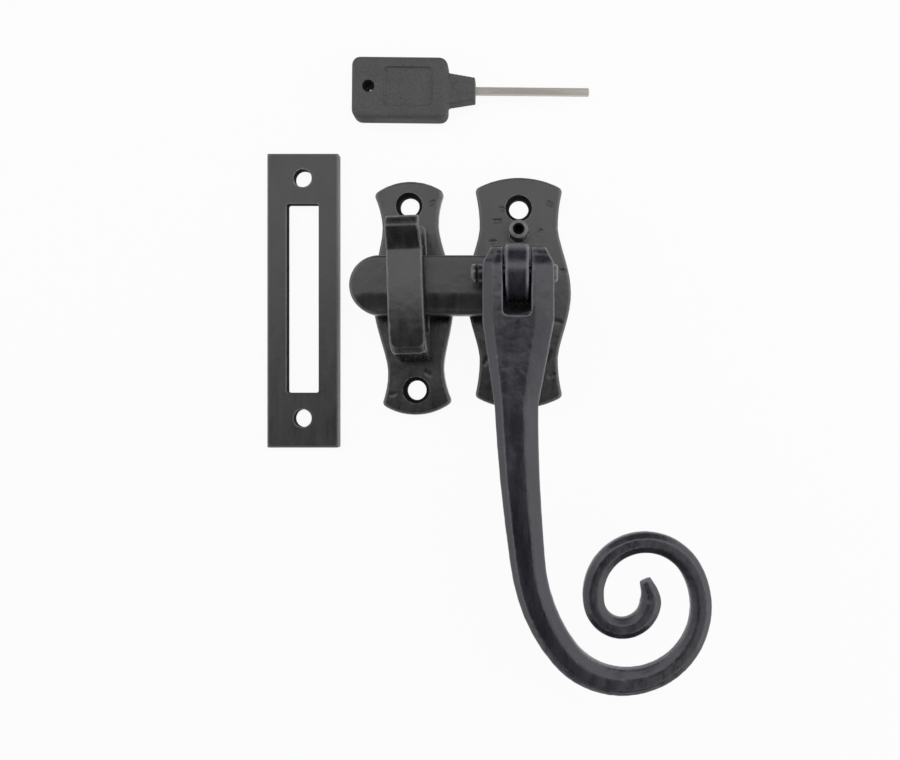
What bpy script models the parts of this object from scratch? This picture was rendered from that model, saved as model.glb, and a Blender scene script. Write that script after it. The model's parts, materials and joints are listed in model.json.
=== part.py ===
"""Casement window fastener set, laid flat as it is sold.

A scroll-handled latch on its back plate, the hook keep that its tongue turns into, a plain
mortice plate and the hexagon key of the lock screw. Lengths are in metres. +Z points out of
the plates, +Y up the back plate, and the origin is under the middle of the whole set, on the
plane of the plates' back faces. The fastener's own places are measured from its spindle.
"""

import math

import bmesh
import bpy
from mathutils import Matrix, Vector

MM = 0.001

# Clearances
SEAT_GAP = 0.3 * MM
PIN_CLEARANCE = 0.15 * MM
SWEEP_CLEARANCE = 0.5 * MM
BACK_INSET = 0.1 * MM
SAME_PLACE = 0.001 * MM

# Back plate
BACK_HEIGHT = 67.2 * MM
BACK_END_WIDTH = 25.6 * MM
BACK_WAIST_WIDTH = 22.8 * MM
BACK_BELLY_WIDTH = 30.5 * MM
BACK_WAIST_Y = 19.0 * MM
BACK_END_RISE = 3.4 * MM
BACK_THICKNESS = 3.0 * MM
BACK_HOLE_PITCH = 49.0 * MM

# Keep plate
KEEP_HEIGHT = 67.9 * MM
KEEP_END_WIDTH = 20.4 * MM
KEEP_WAIST_WIDTH = 16.2 * MM
KEEP_BELLY_WIDTH = 23.4 * MM
KEEP_WAIST_Y = 20.7 * MM
KEEP_END_RISE = 3.4 * MM
KEEP_THICKNESS = 3.0 * MM
KEEP_HOLE_PITCH = 53.5 * MM
KEEP_SPACING = 3.8 * MM
KEEP_DROP = 1.5 * MM
KEEP_LEAN = math.radians(2.2)

# Screw holes and edges of the two waisted plates
SCREW_HOLE_DIAMETER = 5.7 * MM
COUNTERSINK_DIAMETER = 7.8 * MM
PLATE_CHAMFER = 0.5 * MM
PLATE_CORNER = 1.1 * MM
BELLY_FULLNESS = 0.75

# Mortice plate
MORTICE_WIDTH = 20.8 * MM
MORTICE_HEIGHT = 85.6 * MM
MORTICE_THICKNESS = 2.5 * MM
MORTICE_CORNER_RADIUS = 0.8 * MM
MORTICE_SLOT_WIDTH = 9.3 * MM
MORTICE_SLOT_LENGTH = 54.9 * MM
MORTICE_SLOT_RADIUS = 0.6 * MM
MORTICE_HOLE_DIAMETER = 5.2 * MM
MORTICE_HOLE_PITCH = 69.8 * MM
MORTICE_HOLE_RISE = 0.7 * MM
MORTICE_SPACING = 5.4 * MM
MORTICE_DROP = 2.2 * MM

# Lock screw
LOCK_SCREW_DIAMETER = 5.4 * MM
LOCK_SCREW_LENGTH = 6.2 * MM
LOCK_SCREW_STANDOFF = 5.0 * MM
LOCK_SCREW_CHAMFER = 0.4 * MM
LOCK_WEB = 0.4 * MM
LOCK_SOCKET_DEPTH = 2.6 * MM

# Spindle and the rings on it
SPINDLE_DIAMETER = 6.0 * MM
SPINDLE_NECK_WIDTH = 6.0 * MM
SPINDLE_NECK_RISE = 2.0 * MM
RIVET_HEAD_DIAMETER = 8.4 * MM
RIVET_HEAD_HEIGHT = 0.4 * MM
RETAINER_DIAMETER = 11.4 * MM
RETAINER_THICKNESS = 0.7 * MM
WAVE_WASHER_DIAMETER = 13.0 * MM
WAVE_WASHER_THICKNESS = 0.6 * MM
COLLAR_DIAMETER = 14.0 * MM

# Tongue
TONGUE_WIDTH = 16.6 * MM
TONGUE_THICKNESS = 4.6 * MM
TONGUE_REACH = 47.0 * MM
TONGUE_RISE = 0.7 * MM
TONGUE_EDGE_RADIUS = 0.9 * MM

# Knuckle and hinge pin
LUG_WIDTH = 6.2 * MM
LUG_LEFT_SHIFT = 0.3 * MM
LUG_RADIUS = 8.0 * MM
LUG_SIDE_GAP = 0.5 * MM
LUG_SWING_GAP = 3.75 * MM
LUG_EDGE_RADIUS = 0.4 * MM
HINGE_OFFSET = 2.5 * MM
HINGE_PIN_DIAMETER = 4.9 * MM
HINGE_PIN_LEFT_END = 3.3 * MM
HINGE_PIN_RIGHT_END = 1.1 * MM
HINGE_PIN_DOME = 0.7 * MM
HINGE_PIN_GROOVE = 0.4 * MM

# Handle
FORK_END_RADIUS = 6.5 * MM
FORK_WIDTH = 18.8 * MM
FORK_TOP_WIDTH = 14.0 * MM
FORK_SHOULDER = 4.6 * MM
FORK_DEPTH_FACET = 0.22
FORK_INNER_FACET = 0.52
FORK_OUTER_FACET = 0.3
FORK_SLOT_CORNER = 1.2 * MM
FORK_WEB = 1.45 * MM
NECK_LENGTH = 22.0 * MM
NECK_WIDTH = 11.5 * MM
NECK_LEAN = 0.5 * MM
HANDLE_CRANK = 3.1 * MM
STEM_WIDTH = 8.8 * MM
STEM_TAPER_LENGTH = 48.0 * MM
SCROLL_TAPER_START = 52.0 * MM
SCROLL_TAPER_END = 110.0 * MM
SCROLL_WIDTH = 5.6 * MM
TIP_WIDTH = 3.1 * MM
TIP_LENGTH = 6.0 * MM
BAR_DEPTH_RATIO = 0.72
BAR_DEPTH_FACET = 0.5
BAR_INNER_FACET = 0.66
STEM_OUTER_FACET = 0.36
SCROLL_OUTER_FACET = 0.6
STEM_START_TURN = math.radians(1.4)
STEM_BOW_RADIUS = 415.5 * MM
STEM_BOW_SWEEP = math.radians(5.6)
STEM_BEND_RADIUS = 48.9 * MM
STEM_BEND_SWEEP = math.radians(31.0)
BEND_SAG = 0.5 * MM
BEND_SAG_RUN = 61.0 * MM
BEND_SAG_SPAN = 27.0 * MM
SCROLL_OUTER_RADIUS = 19.75 * MM
SCROLL_OUTER_SWEEP = math.radians(172.0)
SCROLL_MIDDLE_RADIUS = 13.7 * MM
SCROLL_MIDDLE_SWEEP = math.radians(162.0)
SCROLL_INNER_RADIUS = 7.46 * MM
SCROLL_INNER_SWEEP = math.radians(188.0)
TIP_BOW_RADIUS = 60.0 * MM
TIP_BOW_SWEEP = math.radians(2.8)

# Hook of the keep
HOOK_WIDTH = 9.9 * MM
HOOK_THICKNESS = 2.6 * MM
HOOK_BASE_THICKNESS = 2.0 * MM
HOOK_ARCH = 0.8 * MM
HOOK_THROAT_GAP = 0.5 * MM
HOOK_ROOT_GAP = 4.8 * MM
HOOK_ROOT_DEPTH = 7.6 * MM
HOOK_ROOT_SLOPE = 1.4 * MM
HOOK_ROOT_ROUNDING = 1.6 * MM
HOOK_MOUTH_GAP = 0.6 * MM
HOOK_LIP_LENGTH = 9.5 * MM
HOOK_LIP_FLARE = 2.0 * MM
HOOK_LIP_NOSE = 3.3 * MM
HOOK_LIP_WIDTH = 9.0 * MM
HOOK_BASE_CORNER = 1.8 * MM
HOOK_RIVET_DIAMETER = 3.5 * MM
HOOK_RIVET_HEAD_DIAMETER = 5.6 * MM
HOOK_RIVET_HEAD_HEIGHT = 0.9 * MM
HOOK_RIVET_EDGE = 4.6 * MM

# Key
KEY_BOW_LENGTH = 27.6 * MM
KEY_BOW_WIDTH = 17.6 * MM
KEY_BOW_THICKNESS = 6.0 * MM
KEY_BOW_RADIUS = 2.4 * MM
KEY_EDGE_RADIUS = 1.4 * MM
KEY_NECK_LENGTH = 7.8 * MM
KEY_NECK_ROOT_WIDTH = 9.0 * MM
KEY_NECK_END_WIDTH = 6.4 * MM
KEY_HANG_HOLE_DIAMETER = 3.0 * MM
KEY_HANG_HOLE_EDGE = 5.0 * MM
KEY_PANEL_LENGTH = 14.0 * MM
KEY_PANEL_WIDTH = 11.2 * MM
KEY_PANEL_DEPTH = 0.3 * MM
KEY_PANEL_RADIUS = 1.5 * MM
KEY_BLADE_FLATS = 2.0 * MM
KEY_BLADE_LENGTH = 33.0 * MM
KEY_BLADE_HELD = 9.0 * MM
KEY_BLADE_CHAMFER = 0.3 * MM
KEY_SPACING = 2.8 * MM
KEY_OFFSET = 48.0 * MM
KEY_LEAN = math.radians(-0.6)

# Facets of round shapes
ROUND_STEPS = 32
ARC_STEPS = 10
SIDE_STEPS = 26
SCROLL_STEP = math.radians(6.0)
SHARP_ANGLE = math.radians(32.0)
CORNER_STEPS = 4
FORK_END_SWEEP = math.radians(80.0)

# Heights and places that follow from the sizes above
TONGUE_BACK = BACK_THICKNESS + LOCK_SCREW_STANDOFF + SWEEP_CLEARANCE
TONGUE_FRONT = TONGUE_BACK + TONGUE_THICKNESS
HINGE_HEIGHT = TONGUE_FRONT + SEAT_GAP + FORK_END_RADIUS
FORK_SLOT_WIDTH = LUG_WIDTH + 2 * LUG_SIDE_GAP
FORK_SLOT_REACH = LUG_RADIUS + LUG_SWING_GAP
PIN_HOLE_DIAMETER = HINGE_PIN_DIAMETER + 2 * PIN_CLEARANCE
RECESS_DEPTH = BACK_INSET + RIVET_HEAD_HEIGHT + RETAINER_THICKNESS + 2 * SEAT_GAP
LOCK_SCREW_Y = (BACK_HOLE_PITCH - COUNTERSINK_DIAMETER - LOCK_SCREW_DIAMETER) / 2 - PIN_CLEARANCE - LOCK_WEB
KEEP_X = -(BACK_BELLY_WIDTH / 2 + KEEP_SPACING + KEEP_BELLY_WIDTH / 2)
MORTICE_X = -(TONGUE_REACH + MORTICE_SPACING + MORTICE_WIDTH / 2)
KEY_Y = TONGUE_REACH + KEY_SPACING + KEY_BOW_WIDTH / 2

# Turns a drawing in the plane of Y and Z, drawn as its first two coordinates, to stand across X
SIDE_VIEW = Matrix(((0, 0, 1, 0), (1, 0, 0, 0), (0, 1, 0, 0), (0, 0, 0, 1)))
# Lays a shape turned about Z along X
ALONG_X = Matrix.Rotation(math.radians(90), 4, "Y")
# Turns a hexagon from a flat to a corner
CORNER_UP = Matrix.Rotation(math.radians(30), 4, "Z")


def clear_scene():
    for item in list(bpy.data.objects):
        bpy.data.objects.remove(item, do_unlink=True)


def make_material(name, colour, roughness, metallic):
    material = bpy.data.materials.new(name)
    material.use_nodes = True
    shader = material.node_tree.nodes["Principled BSDF"]
    shader.inputs["Base Color"].default_value = (*colour, 1.0)
    shader.inputs["Roughness"].default_value = roughness
    shader.inputs["Metallic"].default_value = metallic
    material.diffuse_color = (*colour, 1.0)
    return material


def black_paint(name):
    return make_material(name, (0.028, 0.028, 0.030), 0.42, 0.2)


def bare_steel(name):
    return make_material(name, (0.42, 0.40, 0.37), 0.35, 1.0)


def grey_plastic(name):
    return make_material(name, (0.085, 0.085, 0.087), 0.75, 0.0)


def make_empty(name, location, turn=0.0, parent=None):
    empty = bpy.data.objects.new(name, None)
    empty.parent = parent
    empty.location = location
    empty.rotation_euler = (0.0, 0.0, turn)
    bpy.context.scene.collection.objects.link(empty)
    return empty


def make_object(name, shape, material=None, parent=None, location=(0.0, 0.0, 0.0)):
    bmesh.ops.recalc_face_normals(shape, faces=shape.faces)
    mesh = bpy.data.meshes.new(name)
    shape.to_mesh(mesh)
    shape.free()
    mesh.shade_smooth()
    mesh.set_sharp_from_angle(angle=SHARP_ANGLE)
    item = bpy.data.objects.new(name, mesh)
    item.parent = parent
    item.location = location
    if material is not None:
        mesh.materials.append(material)
    bpy.context.scene.collection.objects.link(item)
    return item


def combine(target, name, shape, operation):
    """Cut the target with a shape drawn in the target's own frame, or join it on."""
    tool = make_object(name, shape, parent=target)
    tool.hide_render = True
    tool.display_type = "WIRE"
    step = target.modifiers.new(name, "BOOLEAN")
    step.operation = operation
    step.solver = "EXACT"
    step.object = tool


def cut(target, name, shape):
    combine(target, name, shape, "DIFFERENCE")


def join(target, name, shape):
    combine(target, name, shape, "UNION")


def arc(centre, radius, start, end, steps=ARC_STEPS):
    points = []
    for index in range(steps + 1):
        angle = start + (end - start) * index / steps
        points.append((centre[0] + radius * math.cos(angle), centre[1] + radius * math.sin(angle)))
    return points


def rounded_rectangle(width, height, radius, centre=(0.0, 0.0)):
    points = []
    for corner in range(4):
        start = corner * math.pi / 2
        side_x = math.copysign(width / 2 - radius, math.cos(start + math.pi / 4))
        side_y = math.copysign(height / 2 - radius, math.sin(start + math.pi / 4))
        middle = (centre[0] + side_x, centre[1] + side_y)
        points += arc(middle, radius, start, start + math.pi / 2, CORNER_STEPS)
    return points


def prism(outline, low, high, frame=Matrix.Identity(4)):
    shape = bmesh.new()
    corners = [shape.verts.new(frame @ Vector((x, y, low))) for x, y in outline]
    face = shape.faces.new(corners)
    raised = bmesh.ops.extrude_face_region(shape, geom=[face])["geom"]
    tops = [item for item in raised if isinstance(item, bmesh.types.BMVert)]
    rise = frame.to_3x3() @ Vector((0.0, 0.0, high - low))
    bmesh.ops.translate(shape, verts=tops, vec=rise)
    bmesh.ops.recalc_face_normals(shape, faces=shape.faces)
    return shape


def turned(profile, frame=Matrix.Identity(4)):
    """Turn a closed profile of radius and height about Z."""
    shape = bmesh.new()
    points = [shape.verts.new((radius, 0.0, height)) for radius, height in profile]
    edges = []
    for index, point in enumerate(points):
        following = points[(index + 1) % len(points)]
        if point.co.x > 0.0 or following.co.x > 0.0:
            edges.append(shape.edges.new((point, following)))
    bmesh.ops.spin(shape, geom=points + edges, angle=math.tau, steps=ROUND_STEPS,
                   axis=(0, 0, 1), cent=(0, 0, 0))
    bmesh.ops.remove_doubles(shape, verts=shape.verts, dist=SAME_PLACE)
    bmesh.ops.recalc_face_normals(shape, faces=shape.faces)
    bmesh.ops.transform(shape, matrix=frame, verts=shape.verts)
    return shape


def cylinder(radius, low, high, centre=(0.0, 0.0)):
    profile = [(0.0, low), (radius, low), (radius, high), (0.0, high)]
    return turned(profile, Matrix.Translation((*centre, 0.0)))


def ring(inner, outer, low, high):
    return turned([(inner, low), (outer, low), (outer, high), (inner, high)])


def hexagon(flats):
    corner = flats / math.sqrt(3)
    angles = [math.radians(60 * index + 30) for index in range(6)]
    return [(corner * math.cos(angle), corner * math.sin(angle)) for angle in angles]


def bevel(shape, chosen, width, segments=1):
    edges = [edge for edge in shape.edges if chosen(edge)]
    bmesh.ops.bevel(shape, geom=edges, offset=width, segments=segments, profile=0.5, affect="EDGES")


def edge_at(axis, level):
    """Choose the edges whose two ends lie at one level along an axis."""
    def chosen(edge):
        return all(abs(end.co[axis] - level) < SAME_PLACE for end in edge.verts)
    return chosen


def waisted_outline(height, end_width, waist_width, belly_width, waist_y, end_rise):
    """Plate with bowed ends, a full middle and two waists."""
    corner_y = height / 2 - end_rise

    def half_width(y):
        if abs(y) < waist_y:
            share = ((1 + math.cos(math.pi * y / waist_y)) / 2) ** BELLY_FULLNESS
            return (waist_width + (belly_width - waist_width) * share) / 2
        share = (abs(y) - waist_y) / (corner_y - waist_y)
        return (waist_width + (end_width - waist_width) * share ** 2) / 2

    levels = [corner_y * (2 * index / SIDE_STEPS - 1) for index in range(SIDE_STEPS + 1)]
    right = [(half_width(y), y) for y in levels]
    end_radius = (end_width ** 2 / 4 + end_rise ** 2) / (2 * end_rise)
    spread = math.asin(end_width / 2 / end_radius)
    upright = math.pi / 2
    top = arc((0.0, height / 2 - end_radius), end_radius, upright - spread, upright + spread)
    half = right + top[1:-1]
    return half + [(-x, -y) for x, y in half]


def countersunk_cutter(thickness, y):
    hole = SCREW_HOLE_DIAMETER / 2
    sink = COUNTERSINK_DIAMETER / 2
    above = thickness + SEAT_GAP
    profile = [(0.0, -SEAT_GAP), (hole, -SEAT_GAP), (hole, thickness - (sink - hole)),
               (sink, thickness), (sink, above), (0.0, above)]
    return turned(profile, Matrix.Translation((0.0, y, 0.0)))


def waisted_plate(name, outline, thickness, hole_pitch, parent):
    shape = prism(outline, 0.0, thickness)
    half = len(outline) // 2
    corners = [Vector(outline[index]) for index in (0, SIDE_STEPS, half, half + SIDE_STEPS)]

    def at_corner(edge):
        return any(all((end.co.xy - corner).length < SAME_PLACE for end in edge.verts) for corner in corners)

    bevel(shape, at_corner, PLATE_CORNER, CORNER_STEPS)
    bevel(shape, edge_at(2, thickness), PLATE_CHAMFER)
    plate = make_object(name, shape, black_paint(name), parent)
    cut(plate, name + "_upper_hole", countersunk_cutter(thickness, hole_pitch / 2))
    cut(plate, name + "_lower_hole", countersunk_cutter(thickness, -hole_pitch / 2))
    return plate


def back_plate(parent):
    outline = waisted_outline(BACK_HEIGHT, BACK_END_WIDTH, BACK_WAIST_WIDTH, BACK_BELLY_WIDTH,
                              BACK_WAIST_Y, BACK_END_RISE)
    plate = waisted_plate("back_plate", outline, BACK_THICKNESS, BACK_HOLE_PITCH, parent)
    above = BACK_THICKNESS + SEAT_GAP
    lock_hole = LOCK_SCREW_DIAMETER / 2 + PIN_CLEARANCE
    cut(plate, "lock_hole", cylinder(lock_hole, -SEAT_GAP, above, (0.0, LOCK_SCREW_Y)))
    bore = SPINDLE_DIAMETER / 2 + PIN_CLEARANCE
    recess = RETAINER_DIAMETER / 2 + SEAT_GAP
    profile = [(0.0, -SEAT_GAP), (recess, -SEAT_GAP), (recess, RECESS_DEPTH),
               (bore, RECESS_DEPTH), (bore, above), (0.0, above)]
    cut(plate, "spindle_hole", turned(profile))


def lock_screw(parent):
    radius = LOCK_SCREW_DIAMETER / 2
    top = BACK_THICKNESS + LOCK_SCREW_STANDOFF
    low = top - LOCK_SCREW_LENGTH
    tapered = radius - LOCK_SCREW_CHAMFER
    profile = [(0.0, low), (tapered, low), (radius, low + LOCK_SCREW_CHAMFER),
               (radius, top - LOCK_SCREW_CHAMFER), (tapered, top), (0.0, top)]
    screw = make_object("lock_screw", turned(profile), black_paint("lock_screw"), parent,
                        (0.0, LOCK_SCREW_Y, 0.0))
    socket_width = KEY_BLADE_FLATS + 2 * PIN_CLEARANCE
    cut(screw, "lock_socket", prism(hexagon(socket_width), top - LOCK_SOCKET_DEPTH, top + SEAT_GAP))


def spindle_rings(parent):
    bore = SPINDLE_DIAMETER / 2 + PIN_CLEARANCE
    retainer_low = BACK_INSET + RIVET_HEAD_HEIGHT + SEAT_GAP
    retainer = ring(bore, RETAINER_DIAMETER / 2, retainer_low, retainer_low + RETAINER_THICKNESS)
    make_object("retaining_washer", retainer, bare_steel("retaining_washer"), parent)
    wave_low = BACK_THICKNESS + SEAT_GAP
    wave_high = wave_low + WAVE_WASHER_THICKNESS
    wave = ring(bore, WAVE_WASHER_DIAMETER / 2, wave_low, wave_high)
    make_object("wave_washer", wave, bare_steel("wave_washer"), parent)
    collar = ring(bore, COLLAR_DIAMETER / 2, wave_high + SEAT_GAP, TONGUE_BACK - SEAT_GAP)
    make_object("spacer_collar", collar, black_paint("spacer_collar"), parent)


def tongue(parent):
    radius = TONGUE_WIDTH / 2
    quarter = math.pi / 2
    outline = arc((0.0, TONGUE_RISE), radius, -quarter, quarter, 2 * ARC_STEPS)
    outline += arc((radius - TONGUE_REACH, TONGUE_RISE), radius, quarter, 3 * quarter, 2 * ARC_STEPS)
    shape = prism(outline, TONGUE_BACK, TONGUE_FRONT)
    bevel(shape, edge_at(2, TONGUE_FRONT), TONGUE_EDGE_RADIUS, 2)
    bevel(shape, edge_at(2, TONGUE_BACK), TONGUE_EDGE_RADIUS / 2)
    bar = make_object("tongue", shape, black_paint("tongue"), parent)
    hole = SPINDLE_NECK_WIDTH + 2 * PIN_CLEARANCE
    outline = rounded_rectangle(hole, hole, PIN_CLEARANCE)
    cut(bar, "tongue_square_hole", prism(outline, TONGUE_BACK - SEAT_GAP, TONGUE_FRONT + SEAT_GAP))


def swivel_knuckle(parent):
    """Round-topped lug with a square neck through the tongue and a spindle through the plate."""
    base = TONGUE_FRONT + SEAT_GAP
    outline = arc((HINGE_OFFSET, HINGE_HEIGHT), LUG_RADIUS, 0.0, math.pi, 2 * ARC_STEPS)
    outline += [(HINGE_OFFSET - LUG_RADIUS, base), (TONGUE_RISE + TONGUE_WIDTH / 2, base)]
    left = -LUG_LEFT_SHIFT - LUG_WIDTH / 2
    right = left + LUG_WIDTH
    shape = prism(outline, left, right, SIDE_VIEW)
    bevel(shape, edge_at(0, left), LUG_EDGE_RADIUS)
    bevel(shape, edge_at(0, right), LUG_EDGE_RADIUS)
    knuckle = make_object("swivel_knuckle", shape, black_paint("swivel_knuckle"), parent)
    neck_low = TONGUE_BACK - PIN_CLEARANCE
    neck = rounded_rectangle(SPINDLE_NECK_WIDTH, SPINDLE_NECK_WIDTH, PIN_CLEARANCE)
    join(knuckle, "square_neck", prism(neck, neck_low, base + SPINDLE_NECK_RISE))
    radius = SPINDLE_DIAMETER / 2
    head = RIVET_HEAD_DIAMETER / 2
    head_high = BACK_INSET + RIVET_HEAD_HEIGHT
    profile = [(0.0, BACK_INSET), (head, BACK_INSET), (head, head_high), (radius, head_high),
               (radius, TONGUE_FRONT), (0.0, TONGUE_FRONT)]
    join(knuckle, "spindle", turned(profile))
    pin_hole = cylinder(PIN_HOLE_DIAMETER / 2, -LUG_WIDTH, LUG_WIDTH)
    place = Matrix.Translation((0.0, HINGE_OFFSET, HINGE_HEIGHT)) @ ALONG_X
    bmesh.ops.transform(pin_hole, matrix=place, verts=pin_hole.verts)
    cut(knuckle, "lug_pin_hole", pin_hole)


def hinge_pin(parent):
    """Cross pin with domed ends, turned along X about the hinge."""
    radius = HINGE_PIN_DIAMETER / 2
    left = -(FORK_WIDTH / 2 + HINGE_PIN_LEFT_END)
    right = FORK_WIDTH / 2 + HINGE_PIN_RIGHT_END
    groove = left + HINGE_PIN_LEFT_END / 2
    flat = radius - HINGE_PIN_DOME
    profile = [(0.0, left), (flat, left), (radius, left + HINGE_PIN_DOME),
               (radius, groove - HINGE_PIN_GROOVE), (radius - HINGE_PIN_GROOVE, groove),
               (radius, groove + HINGE_PIN_GROOVE), (radius, right - HINGE_PIN_DOME),
               (flat, right), (0.0, right)]
    make_object("hinge_pin", turned(profile, ALONG_X), black_paint("hinge_pin"), parent)


def blend(low, high, share):
    return low + (high - low) * min(max(share, 0.0), 1.0)


def eased(share):
    return share * share * (3 - 2 * share)


def fork_width(y):
    share = (FORK_END_RADIUS - y) / FORK_SHOULDER
    return blend(FORK_TOP_WIDTH, FORK_WIDTH, share)


def bar_width(run, length):
    """Width of the stem and scroll at a distance from the neck's end."""
    if run < STEM_TAPER_LENGTH:
        return blend(NECK_WIDTH, STEM_WIDTH, run / STEM_TAPER_LENGTH)
    share = (run - SCROLL_TAPER_START) / (SCROLL_TAPER_END - SCROLL_TAPER_START)
    width = blend(STEM_WIDTH, SCROLL_WIDTH, share)
    tip_share = (run - (length - TIP_LENGTH)) / TIP_LENGTH
    return blend(width, TIP_WIDTH, tip_share)


def scroll_path(start):
    """Points and headings along the tangent arcs of the stem and scroll."""
    arcs = ((STEM_BOW_RADIUS, STEM_BOW_SWEEP), (STEM_BEND_RADIUS, STEM_BEND_SWEEP),
            (SCROLL_OUTER_RADIUS, SCROLL_OUTER_SWEEP), (SCROLL_MIDDLE_RADIUS, SCROLL_MIDDLE_SWEEP),
            (SCROLL_INNER_RADIUS, SCROLL_INNER_SWEEP), (TIP_BOW_RADIUS, TIP_BOW_SWEEP))
    heading = STEM_START_TURN
    place = Vector(start)
    path = [(place, heading, 0.0)]
    run = 0.0
    for radius, sweep in arcs:
        steps = max(CORNER_STEPS, math.ceil(sweep / SCROLL_STEP))
        turn = sweep / steps
        for _ in range(steps):
            chord = 2 * radius * math.sin(turn / 2)
            middle = heading + turn / 2
            place = place + Vector((math.sin(middle), -math.cos(middle))) * chord
            heading += turn
            run += radius * turn
            path.append((place, heading, run))
    return path


def bend_sag(run):
    """How far the bar stands out at the bend below the stem, at a distance from the neck's end."""
    share = 1 - abs(run - BEND_SAG_RUN) / BEND_SAG_SPAN
    return BEND_SAG * eased(max(share, 0.0))


def stem_facets(run):
    """Shares of the half width and half depth that the facets take, inside, outside and down."""
    share = (run - SCROLL_TAPER_START) / (SCROLL_TAPER_END - SCROLL_TAPER_START)
    return BAR_INNER_FACET, blend(STEM_OUTER_FACET, SCROLL_OUTER_FACET, share), BAR_DEPTH_FACET


def bar_section(place, heading, width, depth, height, facets):
    """Eight corners of the bar's faceted section, square to its heading."""
    across = Vector((math.cos(heading), math.sin(heading)))
    inner, outer, down = facets
    half_width = width / 2
    half_depth = depth / 2
    flat_inner = half_width * (1 - inner)
    flat_outer = half_width * (1 - outer)
    flat_depth = half_depth * (1 - down)
    corners = [(half_width, -flat_depth), (half_width, flat_depth), (flat_inner, half_depth),
               (-flat_outer, half_depth), (-half_width, flat_depth), (-half_width, -flat_depth),
               (-flat_outer, -half_depth), (flat_inner, -half_depth)]
    return [(*(place + across * side), height + rise) for side, rise in corners]


def handle_sections():
    """Sections from the fork's round end down to the tip of the scroll, about the hinge."""
    sections = []
    fork_facets = (FORK_INNER_FACET, FORK_OUTER_FACET, FORK_DEPTH_FACET)
    for index in range(ARC_STEPS + 1):
        angle = FORK_END_SWEEP * (1 - index / ARC_STEPS)
        y = FORK_END_RADIUS * math.sin(angle)
        depth = 2 * FORK_END_RADIUS * math.cos(angle)
        sections.append(bar_section(Vector((0.0, y)), 0.0, fork_width(y), depth, 0.0, fork_facets))
    neck_top = -(FORK_SLOT_REACH + FORK_WEB)
    fork_depth = 2 * FORK_END_RADIUS
    neck_depth = NECK_WIDTH * BAR_DEPTH_RATIO
    neck_steps = ARC_STEPS // 2
    for index in range(neck_steps):
        share = index / neck_steps
        place = Vector((-NECK_LEAN * share, neck_top - NECK_LENGTH * share))
        width = blend(FORK_WIDTH, NECK_WIDTH, share)
        depth = blend(fork_depth, neck_depth, eased(share))
        facets = [blend(*pair, share) for pair in zip(fork_facets, stem_facets(0.0))]
        sections.append(bar_section(place, 0.0, width, depth, HANDLE_CRANK * eased(share), facets))
    path = scroll_path((-NECK_LEAN, neck_top - NECK_LENGTH))
    length = path[-1][2]
    for place, heading, run in path:
        outside = Vector((-math.cos(heading), -math.sin(heading)))
        width = bar_width(run, length)
        depth = width * BAR_DEPTH_RATIO
        sagged = place + outside * bend_sag(run)
        sections.append(bar_section(sagged, heading, width, depth, HANDLE_CRANK, stem_facets(run)))
    return sections


def loft(sections):
    shape = bmesh.new()
    rows = [[shape.verts.new(corner) for corner in section] for section in sections]
    for row, following in zip(rows, rows[1:]):
        for index in range(len(row)):
            beside = (index + 1) % len(row)
            shape.faces.new((row[index], row[beside], following[beside], following[index]))
    shape.faces.new(rows[0])
    shape.faces.new(rows[-1])
    return shape


def handle(parent):
    bar = make_object("handle", loft(handle_sections()), black_paint("handle"), parent)
    top = FORK_END_RADIUS + FORK_SHOULDER
    height = top + FORK_SLOT_REACH
    middle = (-LUG_LEFT_SHIFT, top - height / 2)
    slot = rounded_rectangle(FORK_SLOT_WIDTH, height, FORK_SLOT_CORNER, middle)
    cut(bar, "fork_slot", prism(slot, -2 * FORK_END_RADIUS, 2 * FORK_END_RADIUS))
    pin_hole = cylinder(PIN_HOLE_DIAMETER / 2, -FORK_WIDTH, FORK_WIDTH)
    bmesh.ops.transform(pin_hole, matrix=ALONG_X, verts=pin_hole.verts)
    cut(bar, "fork_pin_hole", pin_hole)


def keep_plate(parent):
    outline = waisted_outline(KEEP_HEIGHT, KEEP_END_WIDTH, KEEP_WAIST_WIDTH, KEEP_BELLY_WIDTH,
                              KEEP_WAIST_Y, KEEP_END_RISE)
    plate = waisted_plate("keep_plate", outline, KEEP_THICKNESS, KEEP_HOLE_PITCH, parent)
    hole = HOOK_RIVET_DIAMETER / 2 + PIN_CLEARANCE
    head = HOOK_RIVET_HEAD_DIAMETER / 2 + SEAT_GAP
    recess = BACK_INSET + HOOK_RIVET_HEAD_HEIGHT + SEAT_GAP
    above = KEEP_THICKNESS + SEAT_GAP
    for name, y in hook_rivet_places():
        profile = [(0.0, -SEAT_GAP), (head, -SEAT_GAP), (head, recess), (hole, recess),
                   (hole, above), (0.0, above)]
        cut(plate, name + "_hole", turned(profile, Matrix.Translation((0.0, y, 0.0))))


def hook_levels():
    """Ends of the strap along the keep, measured from the keep plate's centre."""
    tongue_low = KEEP_DROP + TONGUE_RISE - TONGUE_WIDTH / 2
    root_inner = tongue_low - HOOK_ROOT_GAP
    root_outer = root_inner - HOOK_ROOT_DEPTH
    throat = tongue_low + TONGUE_WIDTH + HOOK_MOUTH_GAP
    tip = throat + HOOK_LIP_LENGTH
    return root_outer, root_inner, throat, tip


def hook_rivet_places():
    root_outer, _, _, tip = hook_levels()
    return (("hook_rivet_upper", tip - HOOK_RIVET_EDGE), ("hook_rivet_lower", root_outer + HOOK_RIVET_EDGE))


def bowed(start, end, rise):
    """Shallow arch from one point to another, standing out of the plate by the rise."""
    points = []
    for index in range(ARC_STEPS + 1):
        share = index / ARC_STEPS
        y = blend(start[0], end[0], share)
        height = blend(start[1], end[1], share)
        points.append((y, height + 4 * rise * share * (1 - share)))
    return points


def swept(start, end):
    """Curve from one point to another that leaves and arrives level with the plate."""
    points = []
    for index in range(ARC_STEPS + 1):
        share = index / ARC_STEPS
        points.append((blend(start[0], end[0], share), blend(start[1], end[1], eased(share))))
    return points


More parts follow.
